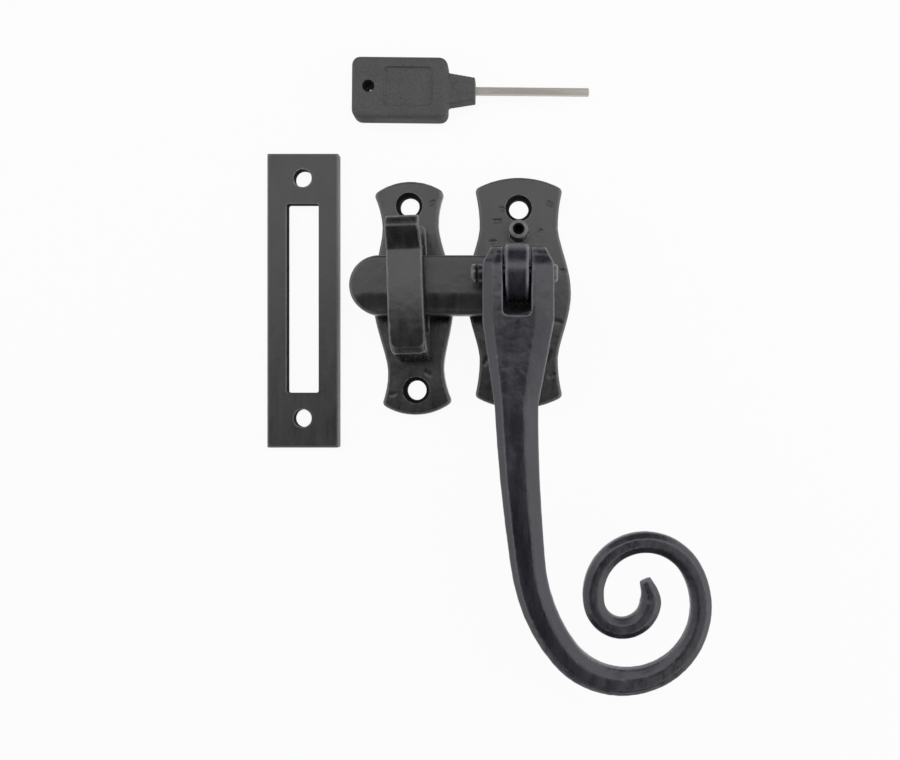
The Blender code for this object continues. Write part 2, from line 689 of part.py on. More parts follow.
def hook_profile():
    root_outer, root_inner, throat, tip = hook_levels()
    foot = KEEP_THICKNESS + SEAT_GAP
    base_top = foot + HOOK_BASE_THICKNESS
    inside = TONGUE_FRONT + HOOK_THROAT_GAP
    outside = inside + HOOK_THICKNESS
    corner = HOOK_BASE_THICKNESS
    shoulder = root_outer + HOOK_ROOT_SLOPE
    outline = [(tip, foot), (tip, base_top)]
    outline += arc((root_inner + corner, base_top + corner), corner, -math.pi / 2, -math.pi, CORNER_STEPS)
    outline += arc((root_inner + corner, inside - corner), corner, math.pi, math.pi / 2, CORNER_STEPS)
    outline += bowed((root_inner + 2 * corner, inside), (throat, inside), HOOK_ARCH)
    nose = (tip - HOOK_LIP_NOSE, inside + HOOK_LIP_FLARE)
    outline += arc(nose, HOOK_LIP_NOSE, 0.0, math.pi / 2, CORNER_STEPS)
    outline += swept((nose[0], nose[1] + HOOK_LIP_NOSE), (throat, outside))[1:-1]
    outline += bowed((throat, outside), (shoulder + HOOK_ROOT_ROUNDING, outside), HOOK_ARCH)
    outline += [(shoulder, outside - HOOK_ROOT_ROUNDING), (root_outer, foot)]
    return outline


def keep_hook(parent):
    """Strap bent over the tongue, closed at its root and open at its flared lip."""
    root_outer, _, throat, tip = hook_levels()
    shape = prism(hook_profile(), -HOOK_WIDTH / 2, HOOK_WIDTH / 2, SIDE_VIEW)
    wall = root_outer + HOOK_ROOT_SLOPE + HOOK_ROOT_ROUNDING
    foot = KEEP_THICKNESS + SEAT_GAP

    def on_side(edge):
        return any(edge_at(0, side * HOOK_WIDTH / 2)(edge) for side in (-1, 1))

    def root_corner(edge):
        outer = all(end.co.y < wall + SAME_PLACE for end in edge.verts)
        rising = abs(edge.verts[0].co.z - edge.verts[1].co.z) > SAME_PLACE
        return on_side(edge) and outer and rising

    def base_corner(edge):
        low = all(end.co.z < foot + HOOK_BASE_THICKNESS + SAME_PLACE for end in edge.verts)
        return on_side(edge) and low and edge_at(1, tip)(edge)

    bevel(shape, root_corner, HOOK_ROOT_ROUNDING, 3)
    bevel(shape, base_corner, HOOK_BASE_CORNER, 3)
    for vertex in shape.verts:
        if vertex.co.z > TONGUE_FRONT:
            share = (vertex.co.y - throat) / (tip - throat)
            vertex.co.x *= blend(1.0, HOOK_LIP_WIDTH / HOOK_WIDTH, share)
    strap = make_object("keep_hook", shape, black_paint("keep_hook"), parent)
    hole = HOOK_RIVET_DIAMETER / 2 + PIN_CLEARANCE
    for name, y in hook_rivet_places():
        seat = cylinder(hole, foot - SEAT_GAP, rivet_top() + SEAT_GAP, (0.0, y))
        cut(strap, name + "_seat", seat)


def rivet_top():
    return KEEP_THICKNESS + HOOK_BASE_THICKNESS


def hook_rivets(parent):
    radius = HOOK_RIVET_DIAMETER / 2
    head = HOOK_RIVET_HEAD_DIAMETER / 2
    head_high = BACK_INSET + HOOK_RIVET_HEAD_HEIGHT
    top = rivet_top()
    for name, y in hook_rivet_places():
        profile = [(0.0, BACK_INSET), (head, BACK_INSET), (head, head_high), (radius, head_high),
                   (radius, top), (0.0, top)]
        make_object(name, turned(profile), bare_steel(name), parent, (0.0, y, 0.0))


def mortice_plate(parent):
    outline = rounded_rectangle(MORTICE_WIDTH, MORTICE_HEIGHT, MORTICE_CORNER_RADIUS)
    shape = prism(outline, 0.0, MORTICE_THICKNESS)
    bevel(shape, edge_at(2, MORTICE_THICKNESS), PLATE_CHAMFER / 2)
    plate = make_object("mortice_plate", shape, black_paint("mortice_plate"), parent)
    low = -SEAT_GAP
    high = MORTICE_THICKNESS + SEAT_GAP
    middle = (0.0, MORTICE_HOLE_RISE)
    slot = rounded_rectangle(MORTICE_SLOT_WIDTH, MORTICE_SLOT_LENGTH, MORTICE_SLOT_RADIUS, middle)
    cut(plate, "mortice_slot", prism(slot, low, high))
    hole = MORTICE_HOLE_DIAMETER / 2
    upper = MORTICE_HOLE_RISE + MORTICE_HOLE_PITCH / 2
    lower = MORTICE_HOLE_RISE - MORTICE_HOLE_PITCH / 2
    cut(plate, "mortice_upper_hole", cylinder(hole, low, high, (0.0, upper)))
    cut(plate, "mortice_lower_hole", cylinder(hole, low, high, (0.0, lower)))


def blade_shape(flats, start, end):
    """Hexagon bar along X at the key's middle height, between two places, with a corner up."""
    place = Matrix.Translation((0.0, 0.0, KEY_BOW_THICKNESS / 2)) @ ALONG_X @ CORNER_UP
    return prism(hexagon(flats), start, end, place)


def key_bow(parent):
    half_length = KEY_BOW_LENGTH / 2
    neck_end = half_length + KEY_NECK_LENGTH
    outline = rounded_rectangle(KEY_BOW_LENGTH, KEY_BOW_WIDTH, KEY_BOW_RADIUS)
    shape = prism(outline, 0.0, KEY_BOW_THICKNESS)
    bevel(shape, edge_at(2, KEY_BOW_THICKNESS), KEY_EDGE_RADIUS, 2)
    bevel(shape, edge_at(2, 0.0), KEY_EDGE_RADIUS, 2)
    bow = make_object("key_bow", shape, grey_plastic("key_bow"), parent)
    inside = half_length - KEY_EDGE_RADIUS
    neck = [(inside, -KEY_NECK_ROOT_WIDTH / 2), (half_length, -KEY_NECK_ROOT_WIDTH / 2),
            (neck_end, -KEY_NECK_END_WIDTH / 2), (neck_end, KEY_NECK_END_WIDTH / 2),
            (half_length, KEY_NECK_ROOT_WIDTH / 2), (inside, KEY_NECK_ROOT_WIDTH / 2)]
    neck_shape = prism(neck, KEY_EDGE_RADIUS, KEY_BOW_THICKNESS - KEY_EDGE_RADIUS)
    bevel(neck_shape, edge_at(0, neck_end), KEY_EDGE_RADIUS / 2)
    join(bow, "key_neck", neck_shape)
    held = neck_end - KEY_BLADE_HELD - SEAT_GAP
    socket = blade_shape(KEY_BLADE_FLATS + 2 * PIN_CLEARANCE, held, neck_end + SEAT_GAP)
    cut(bow, "blade_socket", socket)
    hang_x = KEY_HANG_HOLE_EDGE - half_length
    above = KEY_BOW_THICKNESS + SEAT_GAP
    hang = cylinder(KEY_HANG_HOLE_DIAMETER / 2, -SEAT_GAP, above, (hang_x, 0.0))
    cut(bow, "hang_hole", hang)
    panel_x = (hang_x + half_length) / 2
    panel = rounded_rectangle(KEY_PANEL_LENGTH, KEY_PANEL_WIDTH, KEY_PANEL_RADIUS, (panel_x, 0.0))
    panel_low = KEY_BOW_THICKNESS - KEY_PANEL_DEPTH
    cut(bow, "bare_panel", prism(panel, panel_low, above))


def key_blade(parent):
    neck_end = KEY_BOW_LENGTH / 2 + KEY_NECK_LENGTH
    start = neck_end - KEY_BLADE_HELD
    end = neck_end + KEY_BLADE_LENGTH
    shape = blade_shape(KEY_BLADE_FLATS, start, end)
    bevel(shape, edge_at(0, end), KEY_BLADE_CHAMFER)
    make_object("key_blade", shape, bare_steel("key_blade"), parent)


def centre_over_origin(whole):
    """Move the whole set so that the middle of its outline is over the origin."""
    bpy.context.view_layer.update()
    pieces = [item for item in bpy.data.objects if item.type == "MESH" and not item.hide_render]
    places = [item.matrix_world @ vertex.co for item in pieces for vertex in item.data.vertices]
    for axis in (0, 1):
        values = [place[axis] for place in places]
        whole.location[axis] = -(min(values) + max(values)) / 2


def build():
    clear_scene()
    whole = make_empty("set", (0.0, 0.0, 0.0))
    fastener = make_empty("fastener", (0.0, 0.0, 0.0), parent=whole)
    back_plate(fastener)
    lock_screw(fastener)
    swing = make_empty("tongue_swing", (0.0, 0.0, 0.0), parent=fastener)
    spindle_rings(swing)
    tongue(swing)
    swivel_knuckle(swing)
    hinge = make_empty("handle_hinge", (0.0, HINGE_OFFSET, HINGE_HEIGHT), parent=swing)
    handle(hinge)
    hinge_pin(hinge)
    keep = make_empty("keep", (KEEP_X, -KEEP_DROP, 0.0), KEEP_LEAN, whole)
    keep_plate(keep)
    keep_hook(keep)
    hook_rivets(keep)
    mortice_plate(make_empty("mortice", (MORTICE_X, -MORTICE_DROP, 0.0), 0.0, whole))
    key = make_empty("key", (KEY_BOW_LENGTH / 2 - KEY_OFFSET, KEY_Y, 0.0), KEY_LEAN, whole)
    key_bow(key)
    key_blade(key)
    centre_over_origin(whole)


build()
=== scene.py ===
"""Looks of a casement window fastener set, modelled around its packed solids.

Run as a script, it registers a sidebar panel and one operator for each group of pieces, dresses the
whole set in its finishes and lights it for a picture taken straight from above. Lengths are in metres.
"""

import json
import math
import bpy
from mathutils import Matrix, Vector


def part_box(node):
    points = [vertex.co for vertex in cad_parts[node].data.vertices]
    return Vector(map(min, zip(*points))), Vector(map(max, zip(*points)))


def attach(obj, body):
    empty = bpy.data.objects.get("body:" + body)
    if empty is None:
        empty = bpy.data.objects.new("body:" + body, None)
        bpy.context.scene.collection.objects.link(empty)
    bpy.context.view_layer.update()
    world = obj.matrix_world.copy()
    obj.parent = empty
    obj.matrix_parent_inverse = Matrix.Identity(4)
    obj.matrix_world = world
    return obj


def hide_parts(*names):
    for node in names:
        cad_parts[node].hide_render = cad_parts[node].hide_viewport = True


bl_info = {
    "name": "Casement Fastener Looks",
    "version": (1, 0, 0),
    "blender": (4, 5, 0),
    "location": "3D View > Sidebar > Fastener",
    "description": "Forged, pressed and moulded surfaces of a scroll-handled casement fastener",
    "category": "Object",
}

import bmesh
import bpy
import numpy as np
from bpy.props import FloatProperty, FloatVectorProperty, IntProperty, PointerProperty
from mathutils import Matrix, Vector

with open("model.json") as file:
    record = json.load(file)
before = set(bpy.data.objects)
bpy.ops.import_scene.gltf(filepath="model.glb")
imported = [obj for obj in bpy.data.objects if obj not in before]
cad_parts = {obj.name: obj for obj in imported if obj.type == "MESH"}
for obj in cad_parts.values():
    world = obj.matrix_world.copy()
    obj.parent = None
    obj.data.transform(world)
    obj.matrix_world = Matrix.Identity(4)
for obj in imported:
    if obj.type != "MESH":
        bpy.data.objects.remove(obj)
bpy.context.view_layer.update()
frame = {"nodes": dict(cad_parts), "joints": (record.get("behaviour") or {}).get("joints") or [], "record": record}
BODY_OF = {node: body for body, nodes in frame["record"]["behaviour"]["bodies"].items() for node in nodes}
JOINT_PLACE = {joint["name"]: Vector(joint.get("pos_m", (0.0, 0.0, 0.0))) for joint in frame["joints"]}

MM = 0.001
# Points that lie closer than this are in the same place
SAME_PLACE = 0.002 * MM
# How far a cutter stands out past the face that it cuts
PAST = Vector((0.0, 0.0, MM))
# Axes
X = 0
Z = 2
# Sides of bars
ROUND = 64
FINE_ROUND = 96
RIVET_ROUND = 48
HEXAGON = 6
# Angles in degrees from which an edge is left crisp
DRILLED_CREASE = 40.0
TURNED_CREASE = 35.0
BLADE_CREASE = 20.0
NO_CREASE = 180.0
# Level of the hammered pattern that leaves a face in place: most of the pattern lies below it and sinks
HAMMER_LEVEL = 0.85
# Share of the usual softening that the handle gets, and passes that soften the key's bow and its panel
HANDLE_SOFTENING = 1.5
BOW_SOFTENING = 5
PANEL_SOFTENING = 4
# Depth of a plate's back that is pressed flat
BACK_DEPTH = MM / 2
# How far plugs reach past the screw holes and the lock screw
HOLE_LAP = MM / 4
LOCK_LAP = MM / 2
# Share of a thread's pitch on each side of its root
THREAD_FLANK = 0.45
# Passes that blur the marks of the lightened edges, which stand for wear and a painted highlight
EDGE_BLUR = 4

# Strokes on the plates: place from the plate's middle and length in millimetres, and turn in degrees
BACK_STROKES = ((5.9, 17.4, 2.0, 50), (9.0, 25.8, 1.6, -30), (-4.8, 24.3, 1.4, -20), (-6.1, 20.8, 2.2, 5),
                (-7.4, 14.7, 1.6, 10), (12.8, 6.3, 1.4, 0), (11.4, -8.5, 2.4, -15), (8.6, -18.0, 3.0, 70),
                (9.6, -24.0, 1.8, 20), (-9.5, -20.0, 2.0, 60), (6.8, 9.5, 1.8, -40))
KEEP_STROKES = ((5.6, 27.5, 1.6, 30), (-5.0, 21.0, 1.8, 60), (4.5, -22.0, 2.0, -35), (-5.6, -28.0, 1.6, 15))

# Lamps: place, and width and height of the lit face
LAMPS = {
    "top_lamp": ((0.0, 0.20, 0.50), (1.0, 0.24)),
    "right_lamp": ((0.55, 0.0, 0.25), (0.9, 0.4)),
    "left_lamp": ((-0.55, 0.0, 0.25), (0.9, 0.4)),
}
# Dark cards: width and length, place, and tilt in degrees
CARDS = {
    "top_card": ((0.35, 0.89), (-0.068, -0.35, 0.31), 25.4),
    "near_card": ((1.4, 0.75), (0.0, -0.85, 0.38), 90.0),
    "far_card": ((1.4, 1.15), (0.0, 0.85, 0.585), 90.0),
}
# Width of the camera's sensor in millimetres
SENSOR_WIDTH = 36.0

# Patterns of the finishes, in grains to the metre
CLOUDS = 90.0
STREAKS = 420.0
PEEL = 900.0
BORE_SPOTS = 400.0
BORE_DUST = 700.0
DRAWN_LINES = 900.0
DULL_PATCHES = 300.0
SPARK_PITS = 1500.0
PLASTIC_PATCHES = 200.0
PAPER_FIBRES = 30.0
# Heights of the patterns that can be felt
STREAK_HEIGHT = 0.08 * MM
PEEL_HEIGHT = 0.05 * MM
LINE_HEIGHT = 0.01 * MM
PIT_HEIGHT = 0.06 * MM
# Paint: refraction, the share of its mirror images that stays untinted, and how edges lighten, partly by wear and
# partly as a painted highlight
PAINT_IOR = 1.6
UNTINTED = 0.78
WEAR_HIGHLIGHT_START = 0.16
WEAR_HIGHLIGHT_FULL = 0.6
WEAR_HIGHLIGHT_LIGHT = 5.5
# Dullness of the paint: most pieces, the waisted plates, the tongue and the mortice plate
SATIN = 0.26
PLATE_SATIN = 0.29
TONGUE_SATIN = 0.32
MORTICE_SATIN = 0.36
# Other finishes: mirror image in a bore, metal share of the steel and dullness of the paper
BORE_SHINE = 0.15
STEEL_METAL = 0.45
PAPER_DULL = 0.9
WHITE = (1.0, 1.0, 1.0)


def measure(name, description, size, least=0.0):
    """Property for a length, with its default and its least value in millimetres."""
    return FloatProperty(name=name, description=description, default=size * MM, min=least * MM, unit="LENGTH")


def tone(name, description, default):
    """Property for a finish's colour."""
    return FloatVectorProperty(
        name=name, description=description, default=default, size=3, min=0.0, max=1.0, subtype="COLOR")


def power(name, description, default):
    """Property for a lamp's power."""
    return FloatProperty(name=name, description=description, default=default, min=0.0, unit="POWER")


class ForgeSizes(bpy.types.PropertyGroup):
    """Surface of the forged and pressed pieces."""

    spacing: measure("Point spacing", "Distance between the points of a forged surface", 0.29, least=0.1)
    softening: IntProperty(
        name="Edge softening", description="Passes that round the edges under the paint",
        default=4, min=0, max=40)
    ripple_depth: measure("Ripple depth", "Depth of the small unevenness of forged faces", 0.10)
    ripple_spacing: measure(
        "Ripple spacing", "Length of the small unevenness of forged faces", 2.4, least=0.1)
    wander_depth: measure("Wander depth", "How far forged faces rise and fall", 0.25)
    wander_spacing: measure("Wander spacing", "Length of the slow waves along forged faces", 10.0, least=0.1)
    stroke_depth: measure("Stroke depth", "Depth of the hammer's strokes on the plates", 0.14)
    stroke_width: measure("Stroke width", "Width of the hammer's strokes", 0.40)
    stroke_reach: measure("Stroke reach", "How far a stroke draws the surface round it down", 0.8)


class HandleSizes(bpy.types.PropertyGroup):
    """Forging of the handle's fork and neck."""

    cheek_draw: measure("Cheek draw", "How far the front of the fork's cheeks is drawn up", 0.6)
    cheek_front: measure("Cheek front", "Height over the hinge above which the cheeks are drawn up", 1.0)
    cheek_reach: measure("Cheek reach", "How much of the cheeks is drawn up", 2.5)
    neck_dip: measure("Neck dip", "How far the neck's front is beaten down", 1.0)
    neck_place: measure("Neck place", "Distance from the hinge to the middle of the dip", 36.0)
    neck_spot: measure("Neck spot", "Radius of the part that is beaten down most", 3.5)
    neck_front: measure("Neck front", "Height over the hinge above which the neck is beaten", 4.0)
    neck_reach: measure("Neck reach", "How far the dip draws the stem and the fork's root along", 25.0)


class PlateSizes(bpy.types.PropertyGroup):
    """Screw holes of the two waisted plates."""

    screw_hole: measure("Screw hole", "Diameter of the plates' screw holes", 5.7)
    countersink: measure("Countersink", "Diameter of the screw holes' countersinks", 7.8)
    back_pitch: measure("Back plate pitch", "Distance between the back plate's screw holes", 49.0)
    keep_pitch: measure("Keep plate pitch", "Distance between the keep plate's screw holes", 53.5)
    keep_lean: FloatProperty(
        name="Keep lean", description="Angle at which the keep lies", default=math.radians(2.2),
        subtype="ANGLE")
    thread_room: measure("Thread room", "Room between the lock screw and its hole", 0.06)


class SmallPartSizes(bpy.types.PropertyGroup):
    """Tongue, mortice plate, hinge pin, lock screw, rings and rivets."""

    tongue_fall: measure("Tongue fall", "How far the tongue's lower edge is beaten down", 0.8)
    tongue_fall_reach: measure("Tongue fall reach", "Width of the tongue that slopes to its lower edge", 5.5)
    tongue_edge: measure("Tongue edge", "Rounding of the tongue's front edge", 0.9)
    neck_hole: measure("Neck hole", "Width of the tongue's square hole", 6.3)
    sheet_edge: measure("Sheet edge", "Rounding of the mortice plate's front edges", 0.25)
    slot_width: measure("Slot width", "Width of the mortice plate's slot", 9.3)
    slot_length: measure("Slot length", "Length of the mortice plate's slot", 54.9)
    slot_corner: measure("Slot corner", "Radius in the corners of the mortice plate's slot", 0.6)
    sheet_hole: measure("Sheet hole", "Diameter of the mortice plate's screw holes", 5.2)
    sheet_hole_pitch: measure("Sheet hole pitch", "Distance between the mortice plate's screw holes", 69.8)
    sheet_hole_rise: FloatProperty(
        name="Sheet hole rise", description="Height of the slot and holes above the plate's middle",
        default=0.7 * MM, unit="LENGTH")
    pin_dome: measure("Pin dome", "Rounding of the hinge pin's peened ends", 1.0)
    pin_groove: measure("Pin groove", "Depth of the groove near the hinge pin's long end", 0.4)
    pin_groove_place: measure("Pin groove place", "Distance from the pin's long end to its groove", 1.8)
    thread_pitch: measure("Thread pitch", "Rise of the lock screw's thread in one turn", 0.8, least=0.1)
    thread_depth: measure("Thread depth", "Depth of the lock screw's thread", 0.3)
    socket_flats: measure("Socket flats", "Width across the flats of the lock screw's socket", 2.3)
    socket_depth: measure("Socket depth", "Depth of the lock screw's socket", 2.6)
    socket_mouth: measure("Socket mouth", "Diameter of the lead-in at the socket's mouth", 3.3)
    socket_lead: measure("Socket lead-in", "Depth of the lead-in at the socket's mouth", 0.4)
    spindle_bore: measure("Spindle bore", "Diameter of the holes in the rings on the spindle", 6.3)
    wave_count: IntProperty(
        name="Waves", description="Number of waves round the spring washer",
        default=3, min=2, max=8)
    rivet_shank: measure("Rivet shank", "Diameter of the hook rivets' shanks", 3.5)
    rivet_head: measure("Rivet head", "Height of the hook rivets' heads", 0.9)


class KeySizes(bpy.types.PropertyGroup):
    """Moulded bow and hexagon blade of the key."""

    lean: FloatProperty(
        name="Lean", description="Angle at which the key lies", default=math.radians(-0.6),
        subtype="ANGLE")
    bow_length: measure("Bow length", "Length of the bow without its neck", 27.6)
    bow_width: measure("Bow width", "Width of the bow", 17.6)
    bow_corner: measure("Bow corner", "Radius of the bow's corners", 2.4)
    bow_edge: measure("Bow edge", "Rounding of the bow's edges", 1.4)
    bow_spacing: measure("Bow spacing", "Distance between the points of the bow's surface", 0.2, least=0.1)
    neck_length: measure("Neck length", "Length of the neck that holds the blade", 7.8)
    neck_inset: measure("Neck inset", "How far the neck lies below the bow's faces", 1.0)
    neck_root: measure("Neck root", "Width of the neck where it leaves the bow", 9.0)
    neck_end: measure("Neck end", "Width of the neck at the blade", 6.4)
    hang_hole: measure("Hang hole", "Diameter of the hole for a ring", 2.9)
    hang_sink: measure("Hang sink", "How far the mouth of the hole is widened", 0.3)
    hang_edge: measure("Hang edge", "Distance from the bow's end to the middle of the hole", 5.0)
    panel_length: measure("Panel length", "Length of the bare sunk panel", 14.0)
    panel_width: measure("Panel width", "Width of the bare sunk panel", 11.2)
    panel_depth: measure("Panel depth", "Depth of the bare sunk panel", 0.55)
    panel_corner: measure("Panel corner", "Radius of the panel's corners", 1.5)
    blade_length: measure("Blade length", "Length of the blade outside the neck", 33.0)
    flats: measure("Blade flats", "Width across the blade's flats", 2.0)
    tip_chamfer: measure("Tip chamfer", "Chamfer at the blade's tip", 0.3)


class Finishes(bpy.types.PropertyGroup):
    """Colours of the finishes, as seen in plain light."""

    paint: tone(
        "Paint", "Satin black paint on all painted pieces but the handle and its knuckle",
        (0.0222, 0.0220, 0.0232))
    handle_paint: tone(
        "Handle paint", "Satin black paint on the handle and its knuckle, a little bluer",
        (0.0222, 0.0214, 0.0272))
    steel: tone("Steel", "Plain drawn steel", (0.62, 0.575, 0.53))
    plastic: tone("Plastic", "Dark grey moulding of the key's bow", (0.076, 0.076, 0.077))
    # The bore colour is painted shade in the holes, slot and socket, darker than the paint; the dark cards use it
    # too
    bore: tone("Bore", "Dull black inside the holes and on the dark cards", (0.006, 0.006, 0.006))
    paper: tone("Paper", "Pale floor under the set", (0.86, 0.86, 0.86))


class StageSizes(bpy.types.PropertyGroup):
    """Camera, floor and light."""

    camera_place: FloatVectorProperty(
        name="Camera", description="Place of the camera, measured from the foot of the spindle",
        default=(0.957 * MM, -32.56 * MM, 210.0 * MM), size=3, subtype="TRANSLATION")
    camera_lens: FloatProperty(
        name="Lens", description="Focal length in millimetres on a 36 mm sensor", default=28.56, min=1.0,
        unit="CAMERA")
    camera_shift: FloatVectorProperty(
        name="Shift", description="Shift that frames the set as photographed",
        default=(-0.08, 0.0278), size=2)
    floor_radius: measure("Floor radius", "Radius of the pale floor", 3000.0, least=100.0)
    floor_drop: measure("Floor drop", "Distance from the plates' backs to the floor", 0.2)
    floor_glow: FloatProperty(
        name="Floor glow", description="Share of the floor's whiteness that takes no shadow",
        default=0.93, min=0.0, max=1.0, subtype="FACTOR")
    tent: FloatProperty(
        name="Tent", description="Level of the even light from the white tent", default=1.0, min=0.0)
    top_lamp: power("Top lamp", "Power of the soft lamp beyond the key", 0.56)
    right_lamp: power("Right lamp", "Power of the soft lamp beyond the scroll", 0.64)
    left_lamp: power("Left lamp", "Power of the soft lamp beyond the mortice plate", 0.24)


# Selecting and shaping

def alone(piece):
    """Make one piece the only selected and active object."""
    bpy.ops.object.select_all(action="DESELECT")
    piece.select_set(True)
    bpy.context.view_layer.objects.active = piece
    return piece


def added(name):
    """Name the primitive that was just added and put its place into its mesh."""
    piece = alone(bpy.context.object)
    piece.name = name
    piece.data.name = name
    bpy.ops.object.transform_apply(location=True, rotation=True, scale=True)
    return piece


def add_box(name, low, high):
    """Box between two corners."""
    low, high = Vector(low), Vector(high)
    bpy.ops.mesh.primitive_cube_add(size=1.0, location=(low + high) / 2, scale=high - low)
    return added(name)


def add_rod(name, radius, start, end, vertices=ROUND):
    """Round bar between two points."""
    start, end = Vector(start), Vector(end)
    along = end - start
    bpy.ops.mesh.primitive_cylinder_add(
        vertices=vertices, radius=radius, depth=along.length, location=(start + end) / 2,
        rotation=along.to_track_quat("Z", "Y").to_euler())
    return added(name)


def copy_of_node(node, name):
    """Copy a packed node's mesh as a new piece, with its points merged."""
    piece = bpy.data.objects.new(name, frame["nodes"][node].data.copy())
    piece.data.name = name
    piece.data.materials.clear()
    bpy.context.scene.collection.objects.link(piece)
    edit(piece)
    bpy.ops.mesh.select_all(action="SELECT")
    bpy.ops.mesh.remove_doubles(threshold=SAME_PLACE)
    done()
    return piece


def upright(node):
    """Foot, head and radius of a node that stands round and upright."""
    low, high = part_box(node)
    middle = (low + high) / 2
    foot = Vector((middle.x, middle.y, low.z))
    head = Vector((middle.x, middle.y, high.z))
    return foot, head, (high.x - low.x) / 2


def pick(piece, kind, test):
    """Select only the vertices, edges or faces whose corners all pass a test, in edit mode."""
    bpy.ops.mesh.select_all(action="DESELECT")
    bpy.ops.mesh.select_mode(type=kind)
    shape = bmesh.from_edit_mesh(piece.data)
    parts = {"VERT": shape.verts, "EDGE": shape.edges, "FACE": shape.faces}[kind]
    for part in parts:
        corners = [part] if kind == "VERT" else part.verts
        part.select_set(all(test(corner.co) for corner in corners))
    shape.select_flush_mode()
    bmesh.update_edit_mesh(piece.data)


def near(axis, level):
    """Test whether a point lies at one level along an axis."""
    return lambda place: abs(place[axis] - level) < SAME_PLACE


def edit(piece):
    """Start editing one piece."""
    alone(piece)
    bpy.ops.object.mode_set(mode="EDIT")


def done():
    """Stop editing."""
    bpy.ops.object.mode_set(mode="OBJECT")


def resize(shares, centre):
    """Scale what is picked about a centre, in edit mode."""
    bpy.ops.transform.resize(value=shares, center_override=centre)


def pull(shift):
    """Draw new faces out of the picked ones, in edit mode."""
    bpy.ops.mesh.extrude_region_move(TRANSFORM_OT_translate={"value": shift})


def turn_groove(piece, axis, root, half_width, depth, radius):
    """Sink a groove into a round bar, in edit mode, with its root about a place on the bar's axis."""
    along = Vector([float(number == axis) for number in range(3)])
    for offset in (-1, 0, 1):
        bpy.ops.mesh.select_all(action="SELECT")
        bpy.ops.mesh.bisect(plane_co=root + offset * half_width * along, plane_no=along)
    pick(piece, "VERT", near(axis, root[axis]))
    share = 1.0 - depth / radius
    resize([1.0 if part else share for part in along], root)


def round_edges(piece, test, width, segments):
    """Bevel the edges whose ends both pass a test."""
    edit(piece)
    pick(piece, "EDGE", test)
    bpy.ops.mesh.bevel(offset=width, segments=segments, affect="EDGES")
    done()


def round_uprights(piece, radius, segments):
    """Round the edges of a piece that stand upright."""
    edit(piece)
    bpy.ops.mesh.select_mode(type="EDGE")
    bpy.ops.mesh.select_all(action="DESELECT")
    shape = bmesh.from_edit_mesh(piece.data)
    for edge in shape.edges:
        edge.select_set(abs(edge.verts[1].co.z - edge.verts[0].co.z) > SAME_PLACE)
    bmesh.update_edit_mesh(piece.data)
    bpy.ops.mesh.bevel(offset=radius, segments=segments, affect="EDGES")
    done()


def modify(piece, kind, **settings):
    """Add a modifier, set it up and apply it."""
    alone(piece)
    step = piece.modifiers.new(kind.title(), kind)
    for name, value in settings.items():
        setattr(step, name, value)
    bpy.ops.object.modifier_apply(modifier=step.name)


def cut(piece, cutter):
    """Take a cutter's shape out of a piece and delete the cutter."""
    modify(piece, "BOOLEAN", operation="DIFFERENCE", solver="EXACT", object=cutter, material_mode="TRANSFER")
    bpy.data.objects.remove(cutter, do_unlink=True)


def spread(piece, spacing, softening):
    """Cover a piece with evenly spaced points and soften its edges."""
    modify(piece, "REMESH", mode="VOXEL", voxel_size=spacing)
    modify(piece, "SMOOTH", factor=0.5, iterations=softening)


def hammer(piece, name, depth, spacing, direction):
    """Let a piece's surface rise and fall by a cloudy pattern, mostly inwards."""
    texture = bpy.data.textures.new(piece.name + "_" + name, "CLOUDS")
    texture.noise_scale = spacing
    modify(piece, "DISPLACE", texture=texture, strength=depth, mid_level=HAMMER_LEVEL,
           texture_coords="LOCAL", direction=direction)
    bpy.data.textures.remove(texture)


def soften(piece, share=1.0):
    """Cover a piece with points and give it a share of the usual softening."""
    sizes = bpy.context.scene.fastener_forge
    spread(piece, sizes.spacing, round(sizes.softening * share))


def beat(piece, wander=1.0, ripple=1.0):
    """Give a piece shares of the slow waves and the small unevenness of forged faces."""
    sizes = bpy.context.scene.fastener_forge
    hammer(piece, "wander", sizes.wander_depth * wander, sizes.wander_spacing, "Z")
    hammer(piece, "ripple", sizes.ripple_depth * ripple, sizes.ripple_spacing, "NORMAL")


def forge(piece, wander, ripple, softening=1.0):
    """Give a piece the softened edges and uneven faces of forged iron, by shares of the usual amounts."""
    soften(piece, softening)
    beat(piece, wander, ripple)


def seat(piece, level):
    """Flatten a plate's back on the level that it lies on."""
    edit(piece)
    pick(piece, "VERT", lambda place: place.z < level + BACK_DEPTH)
    resize((1.0, 1.0, 0.0), (0.0, 0.0, level))
    done()


def strike(piece, middle, length, turn, above):
    """Sink one short hammer stroke into the faces above a level."""
    sizes = bpy.context.scene.fastener_forge
    along = Vector((math.cos(turn), math.sin(turn)))

    def struck(place):
        arm = place.xy - middle.xy
        run = arm.dot(along)
        aside = (arm - along * run).length
        return place.z > above and abs(run) < length / 2 and aside < sizes.stroke_width / 2

    press(piece, struck, (0.0, 0.0, -sizes.stroke_depth), sizes.stroke_reach)


def weld(piece, plug):
    """Join a plug to a piece, so that the next spreading of points makes them one."""
    alone(piece)
    plug.select_set(True)
    bpy.ops.object.join()


def press(piece, test, push, reach):
    """Push the points that pass a test, and draw the surface round them along."""
    edit(piece)
    pick(piece, "VERT", test)
    bpy.ops.transform.translate(
        value=push, use_proportional_edit=True, use_proportional_connected=True,
        proportional_edit_falloff="SMOOTH", proportional_size=reach)
    done()


